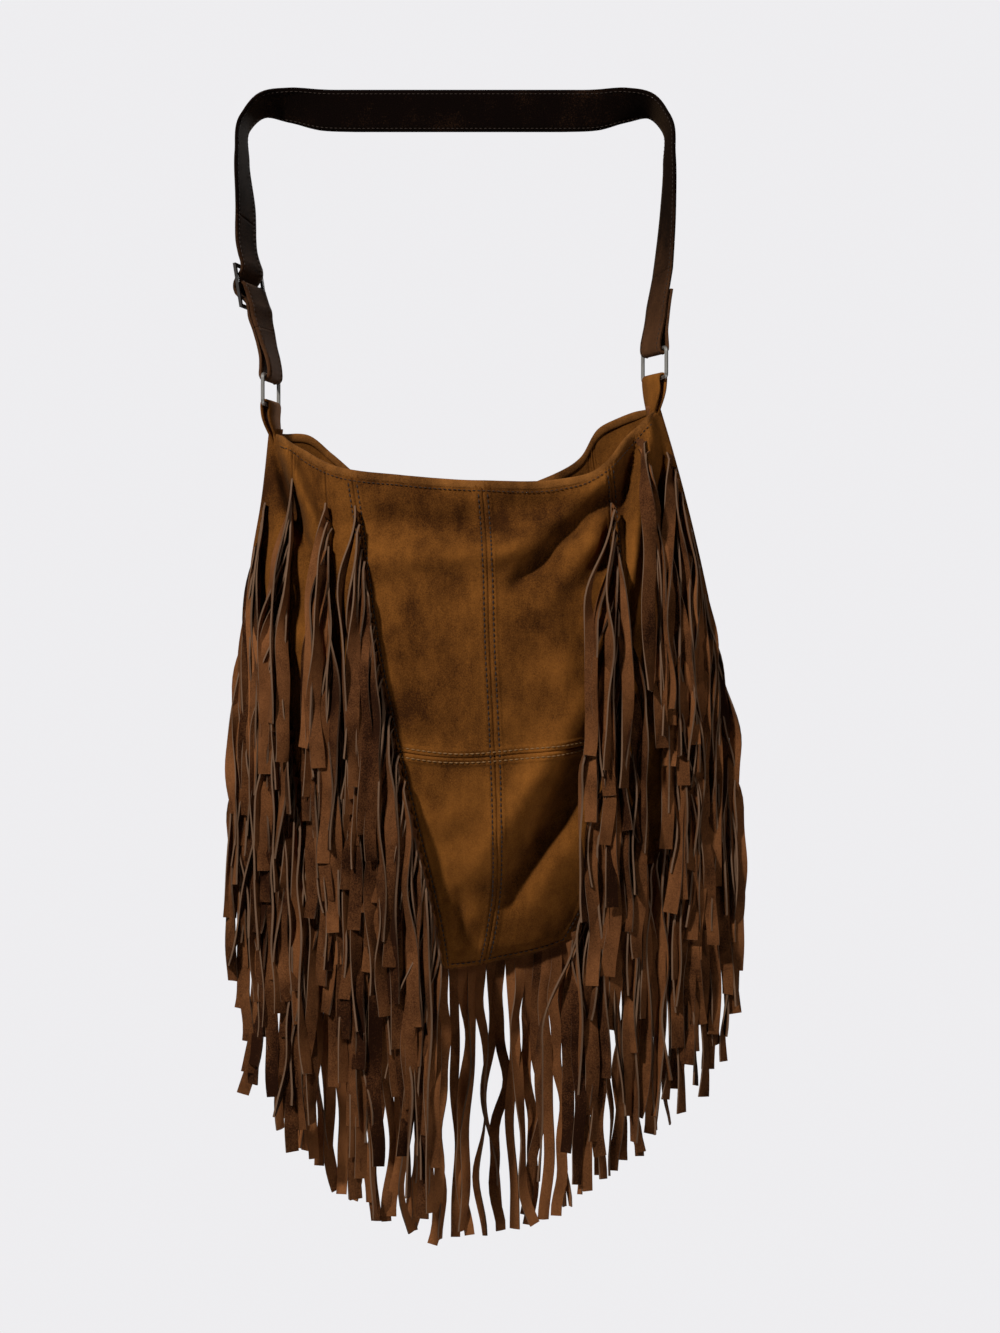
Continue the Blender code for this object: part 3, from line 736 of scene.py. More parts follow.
class Finishes:
    """Every material of the bag, built once."""

    def __init__(self) -> None:
        """Builds the shared node groups and the materials around them."""
        nap, wear = suede_group(), wear_group()
        self.panel = SuedeFinish("panel_suede", (0.034, 0.0110, 0.0024), (0.260, 0.095, 0.0170),
                                 tone=0.42, patches=1.0, varied=True).build(nap)
        self.hem = SuedeFinish("hem_suede", (0.036, 0.0125, 0.0030), (0.260, 0.102, 0.024),
                               tone=0.47, patches=1.3).build(nap)
        self.fringe = SuedeFinish("fringe_suede", (0.018, 0.0056, 0.0022), (0.250, 0.096, 0.034),
                                  tone=0.5, patches=0.80, edge=(0.150, 0.088, 0.055),
                                  varied=True).build(nap)
        # The strap's dark colour, near black, is the painted shade at its top.
        self.strap = SuedeFinish("strap_suede", (0.0024, 0.0008, 0.0006), (0.108, 0.047, 0.021),
                                 tone=0.40, patches=0.5, varied=True).build(nap)
        self.thread = ThreadFinish("brown_thread", (0.022, 0.0085, 0.0030)).build()
        self.tan_thread = ThreadFinish("tan_thread", (0.27, 0.135, 0.040)).build()
        self.ring = MetalFinish("dulled_nickel", (0.80, 0.79, 0.77), (0.34, 0.33, 0.31),
                                (0.34, 0.6)).build(wear)
        self.slider = MetalFinish("gunmetal", (0.070, 0.065, 0.065), (0.025, 0.022, 0.020),
                                  (0.25, 0.5)).build(wear)


def place(obj: bpy.types.Object, mat: bpy.types.Material, nodes: tuple = (),
          body: str | None = "bag") -> bpy.types.Object:
    """Gives a finished piece what it needs to take its place.

    Args:
        obj: the piece.
        mat: its material.
        nodes: the CAD nodes it stands for.
        body: the body it rides on, or None, where it is left unattached.

    Returns:
        The piece.
    """
    obj.data.materials.append(mat)
    if nodes:
        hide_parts(*nodes)
    if body is not None:
        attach(obj, body)
    LOG.info("%s: %d faces", obj.name, len(obj.data.polygons))
    return obj


# ---- stitches ------------------------------------------------------------------
def stitch_mesh(name: str, points: Array, along: Array, out: Array, length: float,
                radius: float) -> bpy.types.Object:
    """A row of thread stitches, each a low spindle that dives into the leather at both ends.

    Formula: a stitch is a tube of five loops of five points, whose radius follows a half sine
    and whose middle line bends outward as a sine.

    Args:
        name: the piece's name.
        points: middle of each stitch on the surface.
        along: unit direction of each stitch.
        out: unit outward direction at each stitch.
        length: length of a stitch.
        radius: thread radius.

    Returns:
        The new object.
    """
    loops, sides = 5, 5
    t = np.linspace(0.0, 1.0, loops)
    turn = np.arange(sides) * 2 * math.pi / sides
    side = unit(np.cross(along, out))
    size = radius * np.maximum(np.sin(math.pi * t), 0.18)
    rise = radius * (1.1 * np.sin(math.pi * t) - 0.55)
    verts = (points[:, None, None, :]
             + ((t - 0.5) * length)[None, :, None, None] * along[:, None, None, :]
             + rise[None, :, None, None] * out[:, None, None, :]
             + (size[:, None] * np.cos(turn))[None, :, :, None] * side[:, None, None, :]
             + (size[:, None] * np.sin(turn))[None, :, :, None] * out[:, None, None, :])
    one = tube_faces(loops, sides)
    quads = (one[None] + (np.arange(len(points)) * loops * sides)[:, None, None]).reshape(-1, 4)
    return new_mesh(name, verts.reshape(-1, 3), quads)


def stitches_along(path: Array, out: Array, pitch: float = STITCH_PITCH) -> tuple[Array, Array, Array]:
    """Places stitches, or strips, evenly along a line.

    Args:
        path: the line's points.
        out: an outward direction at each of them.
        pitch: distance from one to the next.

    Returns:
        Their middles, directions along the line, and outward directions.
    """
    length = np.concatenate([[0.0], np.cumsum(np.linalg.norm(np.diff(path, axis=0), axis=1))])
    at = np.arange(0.5 * pitch, length[-1], pitch)
    spots = np.stack([np.interp(at, length, path[:, k]) for k in range(3)], axis=1)
    ahead = np.stack([np.interp(at + 0.001, length, path[:, k]) for k in range(3)], axis=1)
    behind = np.stack([np.interp(at - 0.001, length, path[:, k]) for k in range(3)], axis=1)
    outward = np.stack([np.interp(at, length, out[:, k]) for k in range(3)], axis=1)
    return spots, unit(ahead - behind), unit(outward)


# ---- the body's pieces ------------------------------------------------------------------
@dataclass
class Panels:
    """The sewn suede pieces of one side, with felled seams, and the stitching on them."""

    shape: BodyShape
    side: Side
    cell: float = 0.0022        # size of a mesh cell
    seam_rise: float = 0.0007   # how far the turned allowance lifts the suede beside a seam
    allowance: float = 0.0062   # width of that allowance
    groove: float = 0.0005      # depth of the line between two pieces
    stitch_off: float = 0.0034  # from the seam to each of its two rows of stitches
    furrow: float = 0.0005      # depth the stitches pull the suede down
    fine_zone: float = 0.0077   # width of the finely meshed strip beside a sewn edge
    fine_cell: float = 0.00075

    def pieces(self) -> list[tuple[str, str, str]]:
        """Lists this side's pieces from left to right.

        Returns:
            Name, left seam and right seam of each.
        """
        if self.side is Side.BACK:
            return [("back_side_panel_left", "left", "inner_left"),
                    ("back_centre_panel", "inner_left", "inner_right"),
                    ("back_side_panel_right", "inner_right", "right")]
        return [("front_gore_outer_left", "left", "outer_left"),
                ("front_gore_middle_left", "outer_left", "middle_left"),
                ("front_gore_inner_left", "middle_left", "inner_left"),
                ("front_panel_{}_left", "inner_left", "centre"),
                ("front_panel_{}_right", "centre", "inner_right"),
                ("front_gore_inner_right", "inner_right", "outer_right"),
                ("front_gore_outer_right", "outer_right", "right")]

    def shares(self, size: float, fine: tuple[bool, bool]) -> Array:
        """Places of the grid lines along one side of a piece.

        Args:
            size: length of the side in metres.
            fine: whether its first and its last end are sewn, and so finely meshed.

        Returns:
            Shares 0 to 1 of the side.
        """
        zone = min(self.fine_zone, 0.3 * size)
        count = max(3, round(zone / self.fine_cell))
        first, last = zone * fine[0], size - zone * fine[1]
        parts = [np.linspace(0.0, zone, count + 1)[:-1]] if fine[0] else []
        parts.append(np.linspace(first, last, max(4, round((last - first) / self.cell)) + 1))
        parts += [np.linspace(last, size, count + 1)[1:]] if fine[1] else []
        return np.concatenate(parts) / size

    def seam_relief(self, edge_distance: Array) -> Array:
        """Lift beside a sewn edge.

        Formula: a low step over the turned allowance, less a bell-shaped groove at the very edge
        and a shallow bell-shaped furrow where the stitches pull the suede down.

        Args:
            edge_distance: distance from the sewn edge.

        Returns:
            The lift at each place.
        """
        step = self.seam_rise * (1.0 - ease((edge_distance - self.allowance) / 0.0018 + 0.5))
        furrow = self.furrow * np.exp(-((edge_distance - self.stitch_off) / 0.0007) ** 2)
        groove = (self.groove + self.seam_rise) * np.exp(-(edge_distance / 0.0008) ** 2)
        return step - groove - furrow

    def build_piece(self, name: str, left: str, right: str, v_from: float, v_to: float,
                    open_edges: tuple[bool, bool]) -> bpy.types.Object:
        """One sewn piece as a sheet with its real thickness.

        Formula: the body's surface between two seams, lifted beside each sewn edge, and the same
        surface one thickness further in. Its tone carries painted light and shade: painted lighter on
        ridges and darker in creases, with a painted shade band below the mouth and a painted highlight
        on the bulging lower middle.

        Args:
            name: the CAD node it stands for.
            left, right: the seams at its sides.
            v_from, v_to: its height, as shares of the side's height.
            open_edges: whether its top and bottom edges are free of a cross seam.

        Returns:
            The new object.
        """
        middle = np.array([0.4, 0.4])
        sides = np.array([self.shape.seam_u(left, 0.4), self.shape.seam_u(right, 0.4)])
        probe = self.shape.point(sides, middle, self.side, folded=False)
        s = self.shares(float(np.linalg.norm(probe[1] - probe[0])), (True, True))[None, :]
        drop = self.shares((v_to - v_from) * 0.36, (not open_edges[0], not open_edges[1]))
        v = (v_from + (v_to - v_from) * drop)[:, None]
        rows, cols = len(drop) - 1, s.shape[1] - 1
        u = self.shape.seam_u(left, v) * (1 - s) + self.shape.seam_u(right, v) * s
        outer = self.shape.point(u, v, self.side)
        plain = self.shape.point(u, v, self.side, folded=False)
        across = np.linalg.norm(np.diff(plain, axis=1), axis=-1)
        run = np.concatenate([np.zeros((rows + 1, 1)), np.cumsum(across, axis=1)], axis=1)
        down = np.linalg.norm(np.diff(plain, axis=0), axis=-1)
        fall = np.concatenate([np.zeros((1, cols + 1)), np.cumsum(down, axis=0)], axis=0)
        normal = grid_normals(plain, self.side)
        lift = np.zeros_like(run)
        if left != "left":
            lift += self.seam_relief(run)
        if right != "right":
            lift += self.seam_relief(run[:, -1:] - run)
        if not open_edges[0]:
            lift += self.seam_relief(fall)
        if not open_edges[1]:
            lift += self.seam_relief(fall[-1:] - fall)
        near = outer + lift[..., None] * normal
        far = near - SUEDE * normal
        grids = (far, near) if self.side is Side.BACK else (near, far)
        obj = new_mesh(name + "_suede", np.vstack([g.reshape(-1, 3) for g in grids]),
                       sheet_faces(rows + 1, cols + 1))
        x, z = plain[..., 0], plain[..., 2]
        # Painted light and shade in the tone: ridges lighter and creases darker by the relief, a painted
        # shade band below the mouth, and a painted highlight on the bulging lower middle.
        painted_shade_band = np.exp(-((z + 0.302) / 0.026) ** 2)
        painted_highlight = np.exp(-((x - 0.015) / 0.045) ** 2 - ((z + 0.545) / 0.060) ** 2)
        tone = 0.5 + 20.0 * self.shape.relief(x, z, self.side) - 0.17 * painted_shade_band + 0.08 * painted_highlight
        add_values(obj, "tone", np.tile(np.clip(tone, 0.2, 0.8).ravel(), 2))
        return obj

    def build(self, finishes: Finishes) -> None:
        """Builds every piece and its stitching.

        Args:
            finishes: the materials.
        """
        cross, top = self.shape.cross_seam, self.shape.hem_share * 0.5
        for name, left, right in self.pieces():
            if "{}" in name:
                spans = [(name.format("upper"), top, cross, (True, False)),
                         (name.format("lower"), cross, 1.0, (False, True))]
            else:
                spans = [(name, top, 1.0, (True, True))]
            for piece, v_from, v_to, free in spans:
                obj = self.build_piece(piece, left, right, v_from, v_to, free)
                place(obj, finishes.panel, (piece,))
        self.stitch(finishes)

    def stitch_line(self, u: Array, v: Array, shift_u: float = 0.0, shift_v: float = 0.0) -> tuple:
        """A line on the surface, moved sideways by real distances.

        Args:
            u, v: shares across and down of the line's points.
            shift_u, shift_v: how far it is moved across and down, in metres.

        Returns:
            Its points and the outward normals there.
        """
        step = 1e-3
        here = self.shape.point(u, v, self.side)
        du = (self.shape.point(u + step, v, self.side) - here) / step
        dv = (self.shape.point(u, v + step, self.side) - here) / step
        normal = turned_out(unit(np.cross(dv, du)), self.side)
        moved = here + shift_u * unit(du) + shift_v * unit(dv) + (self.seam_rise - 0.0002) * normal
        return moved, normal

    def stitch(self, finishes: Finishes) -> None:
        """Twin rows of stitches beside the seams, and one row above the bottom seam.

        Args:
            finishes: the materials.
        """
        tag = self.side.value
        v = np.linspace(0.03, 0.99, 160)
        rows, bright = [], []
        names = ["centre", "inner_left", "inner_right"] if self.side is Side.FRONT else [
            "inner_left", "inner_right"]
        for name in names:
            for sign in (-1.0, 1.0):
                line, out = self.stitch_line(self.shape.seam_u(name, v), v, sign * self.stitch_off)
                rows.append(stitches_along(line, out))
        if self.side is Side.FRONT:
            u = np.linspace(self.shape.seam_u("inner_left", self.shape.cross_seam) + 0.006,
                            self.shape.seam_u("inner_right", self.shape.cross_seam) - 0.006, 90)
            for sign in (-1.0, 1.0):
                line, out = self.stitch_line(u, np.full_like(u, self.shape.cross_seam), 0.0,
                                             sign * self.stitch_off)
                bright.append(stitches_along(line, out))
        u = np.linspace(self.shape.seam_u("inner_left", 1.0) + 0.01,
                        self.shape.seam_u("inner_right", 1.0) - 0.01, 120)
        line, out = self.stitch_line(u, np.full_like(u, 0.985), 0.0, 0.0)
        rows.append(stitches_along(line, out))
        for label, group, mat in (("seam", rows, finishes.thread),
                                  ("cross_seam", bright, finishes.tan_thread)):
            if group:
                parts = [np.vstack(p) for p in zip(*group)]
                obj = stitch_mesh(f"{tag}_{label}_stitching", *parts, 0.0035, 0.00058)
                place(obj, mat)


@dataclass
class MouthBinding:
    """The rolled binding of the mouth on one side, with a row of stitches under it."""

    shape: BodyShape
    side: Side
    height: float = 0.0068
    thick: float = 0.0036

    def build(self, finishes: Finishes) -> None:
        """A rounded bead along the mouth's edge.

        Formula: a rounded section, taller than thick, carried along the mouth's line, swelling a
        little and unevenly along its length, and drawn thin at both corners.

        Args:
            finishes: the materials.
        """
        stations, sides = 260, 16
        u = np.linspace(0.006, 0.994, stations)
        line = self.shape.point(u, np.full_like(u, 0.5 * self.shape.hem_share), self.side)
        below = self.shape.point(u, np.full_like(u, 0.5 * self.shape.hem_share + 0.01), self.side)
        down = unit(below - line)
        tangent = unit(np.gradient(line, axis=0))
        out = turned_out(unit(np.cross(tangent, down)), self.side)
        line = line - 0.5 * PANEL * out
        turn = np.arange(sides) * 2 * math.pi / sides
        bead_c = np.sign(np.cos(turn)) * np.abs(np.cos(turn)) ** 0.7
        bead_s = np.sign(np.sin(turn)) * np.abs(np.sin(turn)) ** 0.85
        taper = 0.45 + 0.55 * ease(np.minimum(u, 1 - u) / 0.06)
        swell = 1.0 + 0.07 * waves(u, 0.0 * u, 0.11, 21) + 0.04 * waves(u, 0.0 * u, 0.03, 22)
        half_t = 0.5 * self.thick * taper * swell
        half_h = 0.5 * self.height * taper
        verts = (line[:, None, :] + (half_t[:, None] * bead_c)[..., None] * out[:, None, :]
                 - (half_h[:, None] * bead_s)[..., None] * down[:, None, :])
        ends = np.stack([line[0], line[-1]])
        verts = np.vstack([verts.reshape(-1, 3), ends])
        quads = tube_faces(stations, sides)
        if self.side is Side.FRONT:
            quads = quads[:, ::-1]
        name = f"mouth_binding_{self.side.value}"
        obj = new_mesh(name + "_roll", verts, quads)
        close_ends(obj)
        place(obj, finishes.hem, (name,))
        stitched = line + 0.5 * PANEL * out + (0.5 * self.height + 0.0012) * down + 0.0007 * out
        keep = slice(8, -8)
        parts = stitches_along(stitched[keep], out[keep], 0.0036)
        place(stitch_mesh(f"{self.side.value}_hem_stitching", *parts, 0.0028, 0.0004),
              finishes.thread)


def close_ends(obj: bpy.types.Object) -> None:
    """Fills the open ends of a tube, drops loose points, and turns its faces outward.

    Args:
        obj: the tube, whose mesh is changed.
    """
    shape = bmesh.new()
    shape.from_mesh(obj.data)
    bmesh.ops.holes_fill(shape, edges=shape.edges, sides=0)
    bmesh.ops.delete(shape, geom=[v for v in shape.verts if not v.link_faces], context="VERTS")
    bmesh.ops.recalc_face_normals(shape, faces=shape.faces)
    shape.to_mesh(obj.data)
    shape.free()


# ---- the fringe ------------------------------------------------------------------
@dataclass
class FringeRow:
    """One row of cut suede strips sewn along a line, each strip a bending and turning ribbon."""

    name: str
    shape: BodyShape
    roots: Array
    tangent: Array
    out: Array
    hang: Hang
    length: float
    seed: int
    spread: float = 0.028         # width over which the strips of one root drift apart
    lean: tuple[float, float] = (0.0, 0.0)   # sideways drift of the first and the last strip
    layer: float = 0.0            # how much further out this row hangs than the others
    width: float = 0.0096
    stations: int = 30            # points along a strip
    first_proud: float = 0.0035   # how much further out the first strips of a row hang
    tone: float = 0.39            # mean tone, from dark at 0 to light at 1
    golden: float = 0.6180339887  # share of the spread from each strip to the next

    def paths(self) -> tuple[Array, Array, Array]:
        """Middle line, width direction and width of every strip.

        Formula: a strip leaves its root outward and turns down within a centimetre, while it
        drifts to its own place in the row and waves slowly. It stays outside the body, and
        further out the lower it is, but is pressed back softly where it would stand out more than
        the row may. Its width starts along the seam and turns towards an angle of its own.

        Returns:
            Points of the middle line, width directions there, and one width for each strip.
        """
        rng = np.random.default_rng(self.seed)
        count = len(self.roots)
        order = np.arange(count)
        s = np.linspace(0.0, 1.0, self.stations)[None, :] * self.length
        s = s * (1.0 + rng.normal(0.0, 0.018, (count, 1)))
        foot = self.hang is Hang.FOOT
        bend = {Hang.FOOT: 0.003, Hang.EDGE: 0.0025, Hang.STEEP: 0.006}[self.hang]
        fall = 1.0 - np.exp(-s / bend)
        angle = 0.5 * math.pi * (fall if not foot else 0.72 + 0.28 * fall)
        step = np.diff(s, axis=1, prepend=0.0)
        reach = np.cumsum(np.cos(angle) * step, axis=1)
        drop = np.cumsum(np.sin(angle) * step, axis=1)
        base = self.roots[:, None, :] + reach[..., None] * self.out[:, None, :]
        x, y, z = base[..., 0], base[..., 1], base[..., 2] - drop
        t = s / self.length
        phase = rng.uniform(0, 2 * math.pi, (4, count, 1))
        long_wave = rng.uniform(0.11, 0.20, (count, 1))
        short_wave = rng.uniform(0.050, 0.09, (count, 1))
        lot = (order * self.golden) % 1.0 - 0.5
        drift = self.spread * lot * (0.40 + 0.60 * np.minimum(order / 9.0, 1.0))
        lean = self.lean[0] + (self.lean[1] - self.lean[0]) * order / max(count - 1, 1)
        drift = (drift + lean + rng.normal(0, 0.0022, count))[:, None]
        amount = (0.0030 if foot else 0.0014) * rng.uniform(0.4, 1.6, (count, 1))
        x = x + drift * ease(s / 0.075) * (0.35 if foot else 1.0)
        x = x + amount * ease(s / 0.05) * (np.sin(2 * math.pi * s / long_wave + phase[0])
                                            + 0.42 * np.sin(2 * math.pi * s / short_wave + phase[1]))
        stray = 0.0085 if self.hang is Hang.EDGE else 0.0048
        flick = rng.normal(0, stray, (count, 1)) * (rng.uniform(0, 1, (count, 1)) < 0.5)
        x = x + flick * t**4
        wave_y = 0.0016 * ease(s / 0.05) * np.sin(2 * math.pi * s / short_wave + phase[2])
        if self.hang is not Hang.FOOT:
            body = SEAM_Y - SEAM_HALF - PANEL - self.shape.hanging(x, z)
            proud = 0.0024 + 0.058 * s + self.layer
            proud = proud + rng.uniform(0, 0.0065, (count, 1)) * ease(s / 0.06)
            proud = proud + self.first_proud * np.exp(-order / 3.0)[:, None] * ease(s / 0.06)
            y = np.minimum(y, body - proud * ease(s / 0.02 + 0.15)) + wave_y
            past = np.maximum(FRINGE_FRONT - y, 0.0)
            y = y + past - FRINGE_SLACK * np.tanh(past / FRINGE_SLACK)
        else:
            lot_y = ((order * 0.754877666) % 1.0 - 0.5)[:, None]
            y = y + (lot_y * 0.014 + wave_y * 1.6) * ease(s / 0.06)
        end = rng.choice([0.0, 0.0, 1.0, -1.0], (count, 1)) * rng.uniform(0.7, 1.45, (count, 1))
        end = end + rng.normal(0, 0.22, (count, 1))
        start = rng.choice([-1.0, 1.0], (count, 1)) * (0.15 if foot else 0.5 * math.pi)
        soon, late = (0.02, 0.05) if foot else (0.030, 0.105)
        settle = rng.uniform(soon, late, (count, 1))
        theta = end + (start - end) * np.exp(-(s / settle) ** 1.3)
        theta = theta + 0.38 * ease(s / 0.05) * np.sin(2 * math.pi * s / long_wave + phase[3])
        path = np.stack([x, y, z], axis=-1)
        along = unit(np.gradient(path, axis=1))
        free = np.stack([np.cos(theta), np.sin(theta), np.zeros_like(theta)], axis=-1)
        sewn = np.broadcast_to(self.tangent[:, None, :], free.shape)
        flip = np.where(np.sum(sewn * free, axis=-1, keepdims=True) < 0.0, -1.0, 1.0)
        wide = sewn * flip + (free - sewn * flip) * ease(s / 0.012)[..., None]
        wide = unit(wide - np.sum(wide * along, axis=-1, keepdims=True) * along)
        size = self.width * (1.0 + rng.normal(0, 0.06, (count, 1))) * (1.0 - 0.06 * np.exp(-s / 0.01))
        return path, wide, size

    def build(self, finishes: Finishes) -> bpy.types.Object:
        """All strips of the row as one mesh, with a tone for each strip and its cut edges marked.

        Formula: a section of six points, a little wider than thick and lightly curled, carried
        along each strip's middle line.

        Args:
            finishes: the materials.

        Returns:
            The row.
        """
        path, wide, size = self.paths()
        count, stations = path.shape[:2]
        along = unit(np.gradient(path, axis=1))
        normal = np.cross(along, wide)
        rng = np.random.default_rng(self.seed + 500)
        curl = (rng.normal(0, 1.0, (count, 1)) * 0.00045)[..., None]
        half = 0.5 * SUEDE * (1.0 - 0.25 * rng.uniform(0, 1, (count, 1)))[..., None]
        # six points round a strip: left, middle and right of each face, the middles crowned
        ring = [(-1.0, 1.0, 0.0), (0.0, 1.0, 1.0), (1.0, 1.0, 0.0),
                (1.0, -1.0, 0.0), (0.0, -1.0, 1.0), (-1.0, -1.0, 0.0)]
        loops = [path + a * 0.5 * size[..., None] * wide + (b * half + c * curl) * normal
                 for a, b, c in ring]
        verts = np.stack(loops, axis=2)
        one = tube_faces(stations, 6)
        ends = np.array([[5, 4, 1, 0], [4, 3, 2, 1]])
        last = (stations - 1) * 6
        tips = np.array([[0, 1, 4, 5], [1, 2, 3, 4]]) + last
        one = np.vstack([one[:, ::-1], ends[:, ::-1], tips[:, ::-1]])
        quads = (one[None] + (np.arange(count) * stations * 6)[:, None, None]).reshape(-1, 4)
        obj = new_mesh(f"{self.name}_strips", verts.reshape(-1, 3), quads, smooth=False)
        order = np.arange(count)
        tone = self.tone + rng.normal(0, 0.15, count)
        tone = tone + 0.13 * rng.choice([-1.0, 0.0, 1.0], count)
        # Painted light and shade: on a steep row the first strips are painted lighter and the strips
        # hanging below them darker, as in their shadow; the random spread above is the suede's own.
        if self.hang is Hang.STEEP:
            tone = tone + 0.08 * np.exp(-order / 4.0) - 0.14 * np.exp(-((order - 9.0) / 5.0) ** 2)
        add_values(obj, "tone", np.repeat(tone, stations * 6))
        raw = np.zeros(len(one))
        cut = (np.arange((stations - 1) * 6) % 6 == 2) | (np.arange((stations - 1) * 6) % 6 == 5)
        raw[:(stations - 1) * 6][cut] = 1.0
        raw[-4:] = 1.0
        add_values(obj, "raw", np.tile(raw, count), "FACE")
        soft = np.tile(np.concatenate([~cut, [False] * 4]), count)
        obj.data.polygons.foreach_set("use_smooth", soft)
        pair = np.zeros(len(obj.data.edges) * 2, dtype=np.int32)
        obj.data.edges.foreach_get("vertices", pair)
        corner = pair.reshape(-1, 2) % 6
        hard = (corner[:, 0] == corner[:, 1]) & (corner[:, 0] != 1) & (corner[:, 0] != 4)
        obj.data.attributes.new("sharp_edge", "BOOLEAN", "EDGE").data.foreach_set("value", hard)
        seam = float(np.sum(np.linalg.norm(np.diff(self.roots, axis=0), axis=1)))
        seam = max(seam, 0.05) + self.width
        return place(obj, finishes.fringe, (self.name,))


@dataclass
class Welt:
    """The strip in the perimeter seam: the uncut edge of the fringe, between front and back."""

    shape: BodyShape
    depth: float = 0.0098
    proud: float = 0.0006
    half: float = 0.0011

    def build(self, finishes: Finishes) -> None:
        """A flat strip along the whole perimeter, from a little outside it to inside the seam.

        Args:
            finishes: the materials.
        """
        line = np.vstack([self.shape.left_edge[::-1][:-1], self.shape.right_edge])
        length = np.concatenate([[0.0], np.cumsum(np.linalg.norm(np.diff(line, axis=0), axis=1))])
        at = np.linspace(0.0, length[-1], 420)
        flat = np.stack([np.interp(at, length, line[:, k]) for k in range(2)], axis=1)
        path = np.stack([flat[:, 0], np.full(len(flat), SEAM_Y), flat[:, 1]], axis=1)
        inward = unit(np.cross(np.array([0.0, 1.0, 0.0]), np.gradient(path, axis=0)))
        inward *= np.where(np.sum(inward * (BODY_MIDDLE - path), axis=1, keepdims=True) < 0.0, -1.0, 1.0)
        section = [(-self.proud, 0.7), (-0.4 * self.proud, 1.0), (self.depth, 1.0),
                   (self.depth, -1.0), (-0.4 * self.proud, -1.0), (-self.proud, -0.7)]
        verts = np.stack([path + a * inward + b * self.half * np.array([0.0, 1.0, 0.0])
                          for a, b in section], axis=1)
        obj = new_mesh("perimeter_welt", verts.reshape(-1, 3), tube_faces(len(path), 6))
        close_ends(obj)
        add_values(obj, "tone", np.full(len(obj.data.vertices), 0.45))
        place(obj, finishes.fringe)


@dataclass
class Fringe:
    """Every row of fringe on the bag."""

    shape: BodyShape
    tuck: float = 0.0030          # how far the perimeter's strips start inside the seam
    front_length: float = 0.183   # length of the front rows' strips
    front_pitch: float = 0.0096
    foot_width: float = 0.0076    # width of the strips at the bottom
    side_width: float = 0.0096

    def on_seam(self, name: str, v_from: float, v_to: float, pitch: float) -> tuple[Array, Array, Array]:
        """Places the strips of a row along a seam of the front.

        Args:
            name: the seam.
            v_from, v_to: where the row begins and ends, as shares of the height.
            pitch: distance from strip to strip.

        Returns:
            Roots, directions along the seam, and outward directions.
        """
        v = np.linspace(v_from, v_to, 400)
        line = self.shape.point(self.shape.seam_u(name, v), v, Side.FRONT)
        spots, along, _ = stitches_along(line, line, pitch)
        out = np.broadcast_to(np.array([0.0, -1.0, 0.0]), spots.shape).copy()
        return spots, along, out

    def on_perimeter(self, line: Array, pitch: float) -> tuple[Array, Array, Array]:
        """Places the strips of a row along part of the perimeter.

        Args:
            line: X and Z of that part.
            pitch: distance from strip to strip.

        Returns:
            Roots, directions along the perimeter, and outward directions.
        """
        world = np.stack([line[:, 0], np.full(len(line), SEAM_Y), line[:, 1]], axis=1)
        spots, along, _ = stitches_along(world, world, pitch)
        out = unit(np.cross(along, np.array([0.0, 1.0, 0.0])))
        out *= np.where(np.sum(out * (spots - BODY_MIDDLE), axis=1, keepdims=True) < 0.0, -1.0, 1.0)
        return spots, along, out

    def build(self, finishes: Finishes) -> None:
        """Builds the five front rows and the three lengths of the perimeter row.

        Args:
            finishes: the materials.
        """
        rows = [("fringe_outer_left", "outer_left", 0.075, 0.97, 0.026, (-0.011, -0.007), 0.000),
                ("fringe_middle_left", "middle_left", 0.080, 0.97, 0.022, (-0.008, -0.005), 0.002),
                ("fringe_inner_left", "inner_left", 0.070, 0.985, 0.022, (-0.004, -0.009), 0.005),
                ("fringe_inner_right", "inner_right", 0.085, 0.985, 0.050, (-0.008, 0.000), 0.003),
                ("fringe_outer_right", "outer_right", 0.022, 0.97, 0.022, (0.010, 0.008), 0.001)]
        for number, (name, seam, v_from, v_to, spread, lean, layer) in enumerate(rows):
            roots, tangent, out = self.on_seam(seam, v_from, v_to, self.front_pitch)
            FringeRow(name, self.shape, roots, tangent, out, Hang.STEEP, self.front_length,
                      seed=40 + number, spread=spread, lean=lean, layer=layer,
                      tone=0.39 if "right" in name else 0.34).build(finishes)
        shares = np.linspace(0.0, 1.0, 400)
        left = smooth_curve(self.shape.side_left, shares)
        right = smooth_curve(self.shape.side_right, shares)
        low = smooth_curve(self.shape.bottom, shares)
        edges = [("fringe_side_left", left[left[:, 1] < -0.300], Hang.EDGE, 0.190, 0.020,
                  (-0.004, -0.002), 0.36),
                 ("fringe_side_right", right[right[:, 1] < -0.262], Hang.EDGE, 0.190, 0.022,
                  (0.002, 0.005), 0.40),
                 ("fringe_bottom", low, Hang.FOOT, 0.203, 0.012, (0.0, 0.0), 0.66)]
        for number, (name, line, hang, length, spread, lean, tone) in enumerate(edges):
            width = self.foot_width if hang is Hang.FOOT else self.side_width
            roots, tangent, out = self.on_perimeter(line, width - 0.0003)
            roots = roots - self.tuck * out
            FringeRow(name, self.shape, roots, tangent, out, hang, length, seed=70 + number,
                      spread=spread, lean=lean, width=width, tone=tone).build(finishes)


